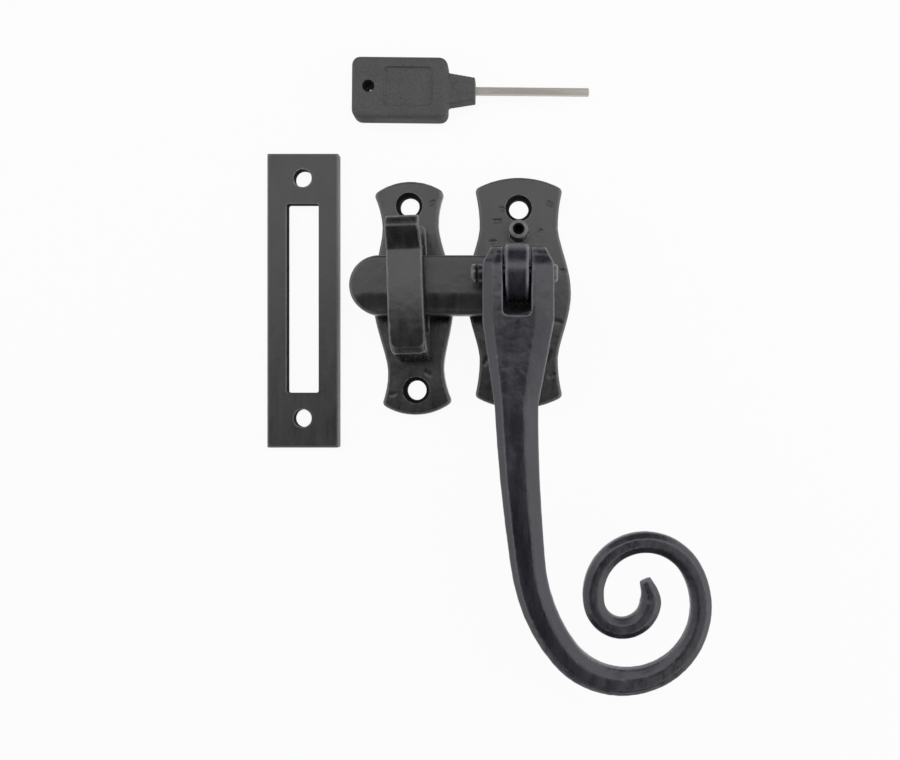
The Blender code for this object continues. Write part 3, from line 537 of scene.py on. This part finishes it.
def drill(piece, place, low, high, hole, sink, material):
    """Drill a hole of one radius through a piece and widen its mouth to another."""
    shoulder = high - (sink - hole)
    centre = Vector((place.x, place.y, shoulder))
    drill_bit = add_rod("drill_bit", hole, Vector((place.x, place.y, low)) - PAST, centre)
    edit(drill_bit)
    pick(drill_bit, "FACE", near(Z, shoulder))
    if sink > hole:
        pull((0.0, 0.0, high - shoulder))
        share = sink / hole
        resize((share, share, 1.0), centre)
        pull(PAST)
    else:
        bpy.ops.transform.translate(value=PAST)
    done()
    # The hole's walls take the cutter's dark material, which paints shade into the hole
    dress(drill_bit, material)
    cut(piece, drill_bit)


def add_ring(name, node, bore):
    """Ring of a node's size with a bore through it."""
    foot, head, radius = upright(node)
    ring = add_rod(name, radius, foot, head, FINE_ROUND)
    cut(ring, add_rod("bore", bore / 2, foot - PAST, head + PAST))
    return ring


def smooth(piece, crease=NO_CREASE):
    """Shade a piece smooth, but for the edges that are sharper than a crease."""
    alone(piece)
    bpy.ops.object.shade_smooth_by_angle(angle=math.radians(crease))


def dress(piece, material):
    """Give a piece one finish all over."""
    piece.data.materials.clear()
    piece.data.materials.append(material)


def read(items, name, width, kind=float):
    """Table of one value of every point or edge of a mesh."""
    values = np.empty(len(items) * width, dtype=kind)
    items.foreach_get(name, values)
    return values.reshape(-1, width)


def mark_edges(piece):
    """Note how sharply a piece bends outwards at each point, which is where its paint is lightened as wear and a
    painted highlight.
    """
    mesh = piece.data
    places = read(mesh.vertices, "co", 3)
    normals = read(mesh.vertices, "normal", 3)
    ends = read(mesh.edges, "vertices", 2, int)
    links = np.bincount(ends.ravel(), minlength=len(places))[:, None]

    def around(one, other):
        total = np.zeros((len(places), one.shape[1]))
        np.add.at(total, ends[:, 0], other)
        np.add.at(total, ends[:, 1], one)
        return total / links

    first, second = places[ends[:, 0]], places[ends[:, 1]]
    squares = ((first - second) ** 2).sum(axis=1, keepdims=True)
    rise = ((places - around(first, second)) * normals).sum(axis=1, keepdims=True)
    bend = 2 * MM * rise / around(squares, squares)
    for _ in range(EDGE_BLUR):
        bend = (bend + around(bend[ends[:, 0]], bend[ends[:, 1]])) / 2
    mesh.attributes.new("rub", "FLOAT", "POINT").data.foreach_set("value", bend.ravel())


def stand_for(piece, node, material=None):
    """Let a finished piece show in place of its node, on the node's body."""
    if material is not None:
        dress(piece, material)
    mark_edges(piece)
    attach(piece, BODY_OF[node])
    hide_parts(node)


# Finishes

def new_material(name, finish):
    """New material, with its node tree, its principled shader and the colour of its finish."""
    material = bpy.data.materials.new(name)
    material.use_nodes = True
    tree = material.node_tree
    colour = getattr(bpy.context.scene.fastener_finishes, finish)
    return material, tree, tree.nodes["Principled BSDF"], colour


def feed(tree, item, values):
    """Set a node's sockets to values, or link them to the outputs of other nodes."""
    for socket, value in values.items():
        if isinstance(value, bpy.types.NodeSocket):
            tree.links.new(value, item.inputs[socket])
        else:
            item.inputs[socket].default_value = value


def add_node(tree, kind, values=None, **settings):
    """Add a node with its settings and what feeds its sockets."""
    item = tree.nodes.new(kind)
    for name, value in settings.items():
        setattr(item, name, value)
    feed(tree, item, values or {})
    return item


def grain(tree, scale, detail=3.0, stretch=(1.0, 1.0, 1.0)):
    """Noise over the piece's own coordinates."""
    place = add_node(tree, "ShaderNodeTexCoord").outputs["Object"]
    mapping = add_node(tree, "ShaderNodeMapping", {"Vector": place, "Scale": stretch})
    values = {"Vector": mapping.outputs["Vector"], "Scale": scale, "Detail": detail}
    return add_node(tree, "ShaderNodeTexNoise", values).outputs["Fac"]


def ranged(tree, source, low, high, start=0.3, end=0.7):
    """Map a noise to a range of values."""
    values = {"Value": source, "From Min": start, "From Max": end, "To Min": low, "To Max": high}
    return add_node(tree, "ShaderNodeMapRange", values).outputs["Result"]


def mixed(tree, share, first, second, blend="MIX"):
    """Mix two colours by a share."""
    values = {"Factor": share, "A": first, "B": second}
    return add_node(tree, "ShaderNodeMix", values, data_type="RGBA", blend_type=blend).outputs["Result"]


def varied(tree, source, colour, low, high):
    """Colour made darker and lighter by a noise."""
    return mixed(tree, ranged(tree, source, 0.0, 1.0), shaded(colour, low), shaded(colour, high))


def raised(tree, height, distance, strength, below=None):
    """Bump from a height, on top of another bump where one is given."""
    values = {"Height": height, "Distance": distance, "Strength": strength}
    if below is not None:
        values["Normal"] = below
    return add_node(tree, "ShaderNodeBump", values).outputs["Normal"]


def shaded(colour, factor=1.0):
    """Colour made darker or lighter, and opaque."""
    return (*(channel * factor for channel in colour), 1.0)


def black_paint(name, dullness=SATIN, finish="paint"):
    """Satin black paint with brush streaks, uneven sheen and edges lightened, partly as rubbed wear and partly as
    a painted highlight.
    """
    material, tree, shader, colour = new_material(name, finish)
    tint = [UNTINTED + (1.0 - UNTINTED) * channel / max(colour) for channel in colour]
    body = varied(tree, grain(tree, CLOUDS), colour, 0.84, 1.18)
    streaks = grain(tree, STREAKS, 4.0, (1.0, 0.22, 1.0))
    brushed = mixed(tree, 1.0, body, varied(tree, streaks, WHITE, 0.72, 1.28), "MULTIPLY")
    # Convex edges are lightened to many times the paint's colour: partly rubbed wear, partly a painted highlight
    edge = add_node(tree, "ShaderNodeAttribute", attribute_name="rub").outputs["Fac"]
    rub = ranged(tree, edge, 0.0, 1.0, WEAR_HIGHLIGHT_START, WEAR_HIGHLIGHT_FULL)
    ridges = raised(tree, streaks, STREAK_HEIGHT, 0.6)
    feed(tree, shader, {
        "Base Color": mixed(tree, rub, brushed, shaded(colour, WEAR_HIGHLIGHT_LIGHT)),
        "Roughness": ranged(tree, streaks, dullness - 0.05, dullness + 0.07),
        "IOR": PAINT_IOR,
        "Specular Tint": shaded(tint),
        "Normal": raised(tree, grain(tree, PEEL), PEEL_HEIGHT, 0.6, ridges),
    })
    return material


def bore_shade_and_card_black(name):
    """Dull black inside the holes, darker than the paint as painted shade there, and on the dark cards."""
    material, tree, shader, colour = new_material(name, "bore")
    feed(tree, shader, {
        "Base Color": varied(tree, grain(tree, BORE_SPOTS), colour, 0.6, 1.4),
        "Roughness": ranged(tree, grain(tree, BORE_DUST), 0.7, 0.95),
        "Specular IOR Level": BORE_SHINE,
    })
    return material


def drawn_steel(name):
    """Bare steel with fine lines along X and cloudy dull patches."""
    material, tree, shader, colour = new_material(name, "steel")
    lines = grain(tree, DRAWN_LINES, stretch=(0.06, 1.0, 1.0))
    feed(tree, shader, {
        "Base Color": varied(tree, lines, colour, 0.88, 1.08),
        "Metallic": STEEL_METAL,
        "Roughness": ranged(tree, grain(tree, DULL_PATCHES), 0.38, 0.50),
        "Normal": raised(tree, lines, LINE_HEIGHT, 0.4),
    })
    return material


def grey_plastic(name):
    """Matt moulded plastic with a fine spark-eroded texture."""
    material, tree, shader, colour = new_material(name, "plastic")
    pits = grain(tree, SPARK_PITS)
    feed(tree, shader, {
        "Base Color": varied(tree, pits, colour, 0.8, 1.2),
        "Roughness": ranged(tree, grain(tree, PLASTIC_PATCHES), 0.62, 0.8),
        "Normal": raised(tree, pits, PIT_HEIGHT, 0.6),
    })
    return material


def pale_paper(name, glow):
    """Floor that takes a faint shadow and is seen as white."""
    material, tree, shader, colour = new_material(name, "paper")
    feed(tree, shader, {
        "Base Color": varied(tree, grain(tree, PAPER_FIBRES), colour, 0.99, 1.0),
        "Roughness": PAPER_DULL,
    })
    rays = add_node(tree, "ShaderNodeLightPath").outputs
    seen = rays["Is Camera Ray"]
    for ray in ("Is Glossy Ray", "Is Transmission Ray"):
        seen = add_node(tree, "ShaderNodeMath", {0: seen, 1: rays[ray]}, operation="MAXIMUM").outputs["Value"]
    share = add_node(tree, "ShaderNodeMath", {0: seen, 1: glow}, operation="MULTIPLY").outputs["Value"]
    light = add_node(tree, "ShaderNodeEmission").outputs["Emission"]
    mix = add_node(tree, "ShaderNodeMixShader", {"Fac": share, 1: shader.outputs["BSDF"], 2: light})
    feed(tree, tree.nodes["Material Output"], {"Surface": mix.outputs["Shader"]})
    return material


# Operators

class FASTENER_OT_plates(bpy.types.Operator):
    """Forge the waisted back plate and keep plate and drill their holes"""

    bl_idname = "fastener.plates"
    bl_label = "Waisted Plates"

    def execute(self, context):
        sizes = context.scene.fastener_plates
        back = self.plate(context, "back_plate", sizes.back_pitch, 0.0, BACK_STROKES)
        foot, _, radius = upright("lock_screw")
        lock_hole = radius + sizes.thread_room
        low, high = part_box("back_plate")
        bore = bpy.data.materials["back_plate_bore"]
        drill(back, foot, low.z, high.z, lock_hole, lock_hole, bore)
        smooth(back, DRILLED_CREASE)
        stand_for(back, "back_plate")
        keep = self.plate(context, "keep_plate", sizes.keep_pitch, sizes.keep_lean, KEEP_STROKES)
        smooth(keep, DRILLED_CREASE)
        stand_for(keep, "keep_plate")
        return {"FINISHED"}

    def plate(self, context, plate, pitch, lean, strokes):
        """Plug a plate's front holes, forge it, strike it and drill the screw holes again."""
        sizes = context.scene.fastener_plates
        low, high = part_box(plate)
        middle = (low + high) / 2
        arm = Vector((-math.sin(lean), math.cos(lean), 0.0)) * pitch / 2
        holes = (middle + arm, middle - arm)
        plugs = [(hole, sizes.countersink / 2 + HOLE_LAP) for hole in holes]
        if plate == "back_plate":
            foot, _, radius = upright("lock_screw")
            plugs.append((foot, radius + LOCK_LAP))
        piece = copy_of_node(plate, plate + "_forged")
        for place, radius in plugs:
            weld(piece, add_rod("plug", radius, (place.x, place.y, low.z), (place.x, place.y, high.z)))
        forge(piece, wander=0.3, ripple=0.6)
        for x, y, length, turn in strokes:
            place = middle + Vector((x, y, 0.0)) * MM
            strike(piece, place, length * MM, math.radians(turn), middle.z)
        seat(piece, low.z)
        dress(piece, black_paint(plate + "_paint", PLATE_SATIN))
        bore = bore_shade_and_card_black(plate + "_bore")
        for hole in holes:
            drill(piece, hole, low.z, high.z, sizes.screw_hole / 2, sizes.countersink / 2, bore)
        return piece


class FASTENER_OT_hook(bpy.types.Operator):
    """Forge the strap of the keep's hook"""

    bl_idname = "fastener.hook"
    bl_label = "Keep Hook"

    def execute(self, context):
        piece = copy_of_node("keep_hook", "keep_hook_forged")
        forge(piece, wander=0.4, ripple=0.7, softening=0.75)
        smooth(piece)
        stand_for(piece, "keep_hook", black_paint("hook_paint"))
        return {"FINISHED"}


class FASTENER_OT_handle(bpy.types.Operator):
    """Forge the forked handle and its scroll"""

    bl_idname = "fastener.handle"
    bl_label = "Scroll Handle"

    def execute(self, context):
        piece = copy_of_node("handle", "handle_forged")
        soften(piece, HANDLE_SOFTENING)
        hinge = JOINT_PLACE["handle_lift"]
        shaping = context.scene.fastener_handle
        cheek_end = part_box("handle")[1].y - shaping.cheek_draw
        cheek_front = hinge.z + shaping.cheek_front
        press(piece, lambda place: place.y > cheek_end and place.z > cheek_front,
              (0.0, shaping.cheek_draw, 0.0), shaping.cheek_reach)
        dip = hinge.xy - Vector((0.0, shaping.neck_place))
        neck_front = hinge.z + shaping.neck_front
        press(piece, lambda place: (place.xy - dip).length < shaping.neck_spot and place.z > neck_front,
              (0.0, 0.0, -shaping.neck_dip), shaping.neck_reach)
        beat(piece)
        smooth(piece)
        stand_for(piece, "handle", black_paint("handle_paint", finish="handle_paint"))
        return {"FINISHED"}


class FASTENER_OT_knuckle(bpy.types.Operator):
    """Forge the swivel knuckle with its lug, neck and spindle"""

    bl_idname = "fastener.knuckle"
    bl_label = "Swivel Knuckle"

    def execute(self, context):
        piece = copy_of_node("swivel_knuckle", "swivel_knuckle_forged")
        forge(piece, wander=0.1, ripple=0.4, softening=1.75)
        smooth(piece)
        stand_for(piece, "swivel_knuckle", black_paint("knuckle_paint", finish="handle_paint"))
        return {"FINISHED"}


class FASTENER_OT_tongue(bpy.types.Operator):
    """Model the flat tongue with its round nose and square hole"""

    bl_idname = "fastener.tongue"
    bl_label = "Tongue"

    def execute(self, context):
        sizes = context.scene.fastener_small
        low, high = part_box("tongue")
        radius = (high.y - low.y) / 2
        middle_y = (low.y + high.y) / 2
        heel = high.x - radius
        piece = add_rod("tongue_bar", radius, (heel, middle_y, low.z), (heel, middle_y, high.z), FINE_ROUND)
        edit(piece)
        pick(piece, "VERT", lambda place: place.x < heel - SAME_PLACE)
        bpy.ops.transform.translate(value=(low.x + radius - heel, 0.0, 0.0))
        done()
        round_edges(piece, near(Z, high.z), sizes.tongue_edge, 3)
        round_edges(piece, near(Z, low.z), sizes.tongue_edge / 2, 2)
        spindle = JOINT_PLACE["handle_turn"]
        half = Vector((sizes.neck_hole / 2, sizes.neck_hole / 2, 0.0))
        foot = Vector((spindle.x, spindle.y, low.z))
        head = Vector((spindle.x, spindle.y, high.z))
        cut(piece, add_box("neck_hole", foot - half - PAST, head + half + PAST))
        forge(piece, wander=0.3, ripple=0.6, softening=0.75)
        lower_edge = low.y + sizes.tongue_edge
        press(piece, lambda place: place.y < lower_edge and place.z > high.z - 2 * sizes.tongue_edge,
              (0.0, 0.0, -sizes.tongue_fall), sizes.tongue_fall_reach)
        smooth(piece)
        stand_for(piece, "tongue", black_paint("tongue_paint", TONGUE_SATIN))
        return {"FINISHED"}


class FASTENER_OT_mortice_plate(bpy.types.Operator):
    """Model the plain mortice plate with its slot and screw holes"""

    bl_idname = "fastener.mortice_plate"
    bl_label = "Mortice Plate"

    def execute(self, context):
        sizes = context.scene.fastener_small
        low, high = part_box("mortice_plate")
        middle = (low + high) / 2
        piece = add_box("mortice_plate_pressed", low, high)
        round_edges(piece, lambda place: True, sizes.sheet_edge, 2)
        forge(piece, wander=0.15, ripple=0.3, softening=0.5)
        seat(piece, low.z)
        dress(piece, black_paint("mortice_paint", MORTICE_SATIN))
        bore = bore_shade_and_card_black("mortice_bore")
        middle.y += sizes.sheet_hole_rise
        half = Vector((sizes.slot_width / 2, sizes.slot_length / 2, (high.z - low.z) / 2))
        slot = add_box("slot", middle - half - PAST, middle + half + PAST)
        round_uprights(slot, sizes.slot_corner, 3)
        # The slot's walls take the dark bore material as painted shade
        dress(slot, bore)
        cut(piece, slot)
        for side in (-1, 1):
            place = Vector((middle.x, middle.y + side * sizes.sheet_hole_pitch / 2, 0.0))
            drill(piece, place, low.z, high.z, sizes.sheet_hole / 2, sizes.sheet_hole / 2, bore)
        smooth(piece, DRILLED_CREASE)
        stand_for(piece, "mortice_plate")
        return {"FINISHED"}


class FASTENER_OT_hinge_pin(bpy.types.Operator):
    """Model the cross pin with domed ends and a groove"""

    bl_idname = "fastener.hinge_pin"
    bl_label = "Hinge Pin"

    def execute(self, context):
        sizes = context.scene.fastener_small
        low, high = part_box("hinge_pin")
        middle = (low + high) / 2
        radius = (high.z - low.z) / 2
        left = Vector((low.x, middle.y, middle.z))
        right = Vector((high.x, middle.y, middle.z))
        piece = add_rod("hinge_pin_turned", radius, left, right)
        for end in (low.x, high.x):
            round_edges(piece, near(X, end), sizes.pin_dome, 5)
        middle.x = low.x + sizes.pin_groove_place
        edit(piece)
        turn_groove(piece, X, middle, sizes.pin_groove, sizes.pin_groove, radius)
        done()
        smooth(piece, TURNED_CREASE)
        stand_for(piece, "hinge_pin", black_paint("pin_paint"))
        return {"FINISHED"}


class FASTENER_OT_lock_screw(bpy.types.Operator):
    """Model the threaded lock screw with its hexagon socket"""

    bl_idname = "fastener.lock_screw"
    bl_label = "Lock Screw"

    def execute(self, context):
        sizes = context.scene.fastener_small
        foot, head, radius = upright("lock_screw")
        piece = add_rod("lock_screw_threaded", radius, foot, head)
        for end in (foot.z, head.z):
            round_edges(piece, near(Z, end), sizes.thread_depth / 2, 2)
        edit(piece)
        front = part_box("back_plate")[1].z + sizes.thread_pitch / 2
        turns = int((head.z - 2 * sizes.thread_depth - front) / sizes.thread_pitch)
        for turn in range(turns):
            root = Vector((head.x, head.y, front + (turn + 0.5) * sizes.thread_pitch))
            turn_groove(piece, Z, root, sizes.thread_pitch * THREAD_FLANK, sizes.thread_depth, radius)
        done()
        socket_radius = sizes.socket_flats / math.sqrt(3)
        floor = head - Vector((0.0, 0.0, sizes.socket_depth))
        dress(piece, black_paint("screw_paint"))
        socket = add_rod("socket", socket_radius, floor, head + PAST, HEXAGON)
        lead = head - Vector((0.0, 0.0, sizes.socket_lead))
        brim = head + Vector((0.0, 0.0, SAME_PLACE))
        mouth = add_rod("socket_mouth", sizes.socket_mouth / 2, lead, brim)
        edit(mouth)
        pick(mouth, "VERT", near(Z, lead.z))
        share = 2 * socket_radius / sizes.socket_mouth
        resize((share, share, 1.0), lead)
        done()
        bore = bore_shade_and_card_black("socket_bore")
        # The socket's walls take the dark bore material as painted shade
        for cutter in (socket, mouth):
            dress(cutter, bore)
            cut(piece, cutter)
        smooth(piece, TURNED_CREASE)
        stand_for(piece, "lock_screw")
        return {"FINISHED"}


class FASTENER_OT_rings(bpy.types.Operator):
    """Model the collar, the spring washer and the retaining washer on the spindle"""

    bl_idname = "fastener.rings"
    bl_label = "Spindle Rings"

    def execute(self, context):
        sizes = context.scene.fastener_small
        collar = add_ring("spacer_collar_turned", "spacer_collar", sizes.spindle_bore)
        soften(collar)
        smooth(collar)
        stand_for(collar, "spacer_collar", black_paint("collar_paint"))
        retainer = add_ring("retaining_washer_pressed", "retaining_washer", sizes.spindle_bore)
        smooth(retainer, TURNED_CREASE)
        stand_for(retainer, "retaining_washer", drawn_steel("retainer_steel"))
        wave = add_ring("wave_washer_pressed", "wave_washer", sizes.spindle_bore)
        self.wave(wave, sizes.wave_count)
        smooth(wave, TURNED_CREASE)
        stand_for(wave, "wave_washer", drawn_steel("wave_steel"))
        return {"FINISHED"}

    def wave(self, ring, count):
        """Thin the ring to half its height and let it wave through the rest."""
        low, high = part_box("wave_washer")
        middle = (low + high) / 2
        edit(ring)
        bpy.ops.mesh.select_all(action="SELECT")
        resize((1.0, 1.0, 0.5), middle)
        shape = bmesh.from_edit_mesh(ring.data)
        for corner in shape.verts:
            arm = corner.co - middle
            turn = math.atan2(arm.y, arm.x)
            corner.co.z += (high.z - low.z) / 4 * math.sin(count * turn)
        bmesh.update_edit_mesh(ring.data)
        done()


class FASTENER_OT_rivets(bpy.types.Operator):
    """Model the two rivets that hold the hook to its plate"""

    bl_idname = "fastener.rivets"
    bl_label = "Hook Rivets"

    def execute(self, context):
        sizes = context.scene.fastener_small
        for rivet in ("hook_rivet_upper", "hook_rivet_lower"):
            foot, head, radius = upright(rivet)
            shoulder = foot + Vector((0.0, 0.0, sizes.rivet_head))
            piece = add_rod(rivet + "_peened", sizes.rivet_shank / 2, shoulder, head, RIVET_ROUND)
            edit(piece)
            pick(piece, "FACE", near(Z, shoulder.z))
            pull((0.0, 0.0, 0.0))
            share = 2 * radius / sizes.rivet_shank
            resize((share, share, 1.0), shoulder)
            pull((0.0, 0.0, -sizes.rivet_head))
            done()
            round_edges(piece, near(Z, foot.z), sizes.rivet_head / 3, 2)
            smooth(piece, TURNED_CREASE)
            stand_for(piece, rivet, drawn_steel(rivet + "_steel"))
        return {"FINISHED"}


class FASTENER_OT_key(bpy.types.Operator):
    """Model the key's moulded bow and its hexagon blade"""

    bl_idname = "fastener.key"
    bl_label = "Key"

    def execute(self, context):
        sizes = context.scene.fastener_key
        stand_for(self.bow(sizes), "key_bow")
        stand_for(self.blade(sizes), "key_blade", drawn_steel("blade_steel"))
        return {"FINISHED"}

    def bow(self, sizes):
        """Mould the bow with its neck, its sunk panel and its hole."""
        low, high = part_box("key_bow")
        thickness = high.z - low.z
        half_length = sizes.bow_length / 2
        half_width = sizes.bow_width / 2
        corner = Vector((half_length, half_width, 0.0))
        bow = add_box("key_bow_moulded", -corner, corner + Vector((0.0, 0.0, thickness)))
        round_uprights(bow, sizes.bow_corner, 5)
        for level in (0.0, thickness):
            round_edges(bow, near(Z, level), sizes.bow_edge, 5)
        neck_end = half_length + sizes.neck_length
        neck_low = sizes.neck_inset
        neck = add_box("neck", (0.0, -sizes.neck_root / 2, neck_low),
                       (neck_end, sizes.neck_root / 2, thickness - neck_low))
        edit(neck)
        bpy.ops.mesh.select_all(action="SELECT")
        bpy.ops.mesh.bisect(plane_co=(half_length, 0.0, 0.0), plane_no=(1.0, 0.0, 0.0))
        pick(neck, "VERT", near(X, neck_end))
        share = sizes.neck_end / sizes.neck_root
        resize((1.0, share, 1.0), (neck_end, 0.0, thickness / 2))
        done()
        weld(bow, neck)
        hang = sizes.hang_edge - half_length
        panel_x = hang / 2 + half_length / 2
        half = Vector((sizes.panel_length / 2, sizes.panel_width / 2, 0.0))
        floor = Vector((panel_x, 0.0, thickness - sizes.panel_depth))
        roof = Vector((panel_x, 0.0, thickness)) + PAST
        panel = add_box("panel", floor - half, roof + half)
        round_uprights(panel, sizes.panel_corner, 5)
        spread(bow, sizes.bow_spacing, BOW_SOFTENING)
        cut(bow, panel)
        spread(bow, sizes.bow_spacing, PANEL_SOFTENING)
        dress(bow, grey_plastic("key_plastic"))
        hole = Vector((hang, 0.0, 0.0))
        hang_radius = sizes.hang_hole / 2
        bore = bore_shade_and_card_black("key_bore")
        drill(bow, hole, 0.0, thickness, hang_radius, hang_radius + sizes.hang_sink, bore)
        smooth(bow, DRILLED_CREASE)
        return self.lay(bow, sizes)

    def blade(self, sizes):
        """Draw the hexagon blade with a corner up."""
        low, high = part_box("key_bow")
        neck_end = sizes.bow_length / 2 + sizes.neck_length
        blade_low, blade_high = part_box("key_blade")
        length = (blade_high.x - blade_low.x) / math.cos(sizes.lean)
        middle_z = (high.z - low.z) / 2
        tip = neck_end + sizes.blade_length
        blade = add_rod("key_blade_drawn", sizes.flats / math.sqrt(3), (tip - length, 0.0, middle_z),
                        (tip, 0.0, middle_z), HEXAGON)
        corner = max(blade.data.vertices, key=lambda vertex: vertex.co.z).co
        turn = math.atan2(corner.y, corner.z - middle_z)
        edit(blade)
        bpy.ops.mesh.select_all(action="SELECT")
        bpy.ops.transform.rotate(value=turn, orient_axis="X", center_override=(tip, 0.0, middle_z))
        done()
        round_edges(blade, near(X, tip), sizes.tip_chamfer, 1)
        smooth(blade, BLADE_CREASE)
        return self.lay(blade, sizes)

    def lay(self, piece, sizes):
        """Turn a piece drawn about the bow's middle to lie where the key lies."""
        low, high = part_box("key_bow")
        turn = Matrix.Rotation(sizes.lean, 4, "Z")
        neck_tip = turn @ Vector((sizes.bow_length / 2 + sizes.neck_length, 0.0, 0.0))
        alone(piece)
        piece.matrix_world = Matrix.Translation((high.x - neck_tip.x, (low.y + high.y) / 2, 0.0)) @ turn
        bpy.ops.object.transform_apply(location=True, rotation=True, scale=True)
        return piece


class FASTENER_OT_stage(bpy.types.Operator):
    """Set out the floor, the camera, the soft lamps and the dark cards"""

    bl_idname = "fastener.stage"
    bl_label = "Stage"

    def execute(self, context):
        sizes = context.scene.fastener_stage
        bpy.ops.mesh.primitive_circle_add(
            vertices=FINE_ROUND, radius=sizes.floor_radius, fill_type="NGON",
            location=(0.0, 0.0, -sizes.floor_drop))
        floor = added("floor")
        dress(floor, pale_paper("floor_paper", sizes.floor_glow))
        view = bpy.data.cameras.new("camera")
        view.lens = sizes.camera_lens
        view.sensor_width = SENSOR_WIDTH
        view.shift_x, view.shift_y = sizes.camera_shift
        view.clip_start = MM
        camera = bpy.data.objects.new("camera", view)
        camera.location = JOINT_PLACE["handle_turn"] + Vector(sizes.camera_place)
        context.scene.collection.objects.link(camera)
        context.scene.camera = camera
        for name, (place, size) in LAMPS.items():
            self.lamp(name, place, size, getattr(sizes, name))
        for name, (size, place, tilt) in CARDS.items():
            self.dark_card(name, size, place, math.radians(tilt))
        world = bpy.data.worlds.new("white_tent")
        world.use_nodes = True
        tree = world.node_tree
        feed(tree, tree.nodes["Background"], {"Color": shaded(WHITE), "Strength": sizes.tent})
        context.scene.world = world
        context.scene.view_settings.view_transform = "Standard"
        return {"FINISHED"}

    def dark_card(self, name, size, place, tilt):
        """Hang a dark card for the paint to mirror, which the camera doesn't see."""
        bpy.ops.mesh.primitive_plane_add(size=1.0)
        card = bpy.context.object
        card.scale = (*size, 1.0)
        card.rotation_euler = (tilt, 0.0, 0.0)
        card.location = place
        card = added(name)
        dress(card, bore_shade_and_card_black(name + "_black"))
        card.visible_camera = False

    def lamp(self, name, place, size, power):
        """Hang a soft rectangular lamp that faces the middle of the floor."""
        light = bpy.data.lights.new(name, "AREA")
        light.shape = "RECTANGLE"
        light.size, light.size_y = size
        light.energy = power
        item = bpy.data.objects.new(name, light)
        item.location = place
        item.rotation_euler = (-Vector(place)).to_track_quat("-Z", "Y").to_euler()
        item.visible_camera = False
        bpy.context.scene.collection.objects.link(item)


class FASTENER_PT_panel(bpy.types.Panel):
    """Sidebar list of the set's pieces and sizes"""

    bl_idname = "FASTENER_PT_panel"
    bl_label = "Casement Fastener"
    bl_space_type = "VIEW_3D"
    bl_region_type = "UI"
    bl_category = "Fastener"

    def draw(self, context):
        column = self.layout.column()
        for operator in OPERATORS:
            column.operator(operator.bl_idname)
        for holder, group in GROUPS.items():
            box = column.box()
            box.label(text=group.__doc__)
            for name in group.__annotations__:
                box.prop(getattr(context.scene, holder), name)


GROUPS = {
    "fastener_forge": ForgeSizes,
    "fastener_handle": HandleSizes,
    "fastener_plates": PlateSizes,
    "fastener_small": SmallPartSizes,
    "fastener_key": KeySizes,
    "fastener_finishes": Finishes,
    "fastener_stage": StageSizes,
}
OPERATORS = (
    FASTENER_OT_stage,
    FASTENER_OT_plates,
    FASTENER_OT_hook,
    FASTENER_OT_handle,
    FASTENER_OT_knuckle,
    FASTENER_OT_tongue,
    FASTENER_OT_mortice_plate,
    FASTENER_OT_hinge_pin,
    FASTENER_OT_lock_screw,
    FASTENER_OT_rings,
    FASTENER_OT_rivets,
    FASTENER_OT_key,
)


def register():
    """Add the groups of sizes, the operators and the panel."""
    for item in (*GROUPS.values(), *OPERATORS, FASTENER_PT_panel):
        bpy.utils.register_class(item)
    for holder, group in GROUPS.items():
        setattr(bpy.types.Scene, holder, PointerProperty(type=group))


def unregister():
    """Take them away again."""
    for holder in GROUPS:
        delattr(bpy.types.Scene, holder)
    for item in reversed((*GROUPS.values(), *OPERATORS, FASTENER_PT_panel)):
        bpy.utils.unregister_class(item)


def main():
    """Build the whole set."""
    register()
    for operator in OPERATORS:
        group, name = operator.bl_idname.split(".")
        getattr(getattr(bpy.ops, group), name)()


if __name__ == "__main__":
    main()
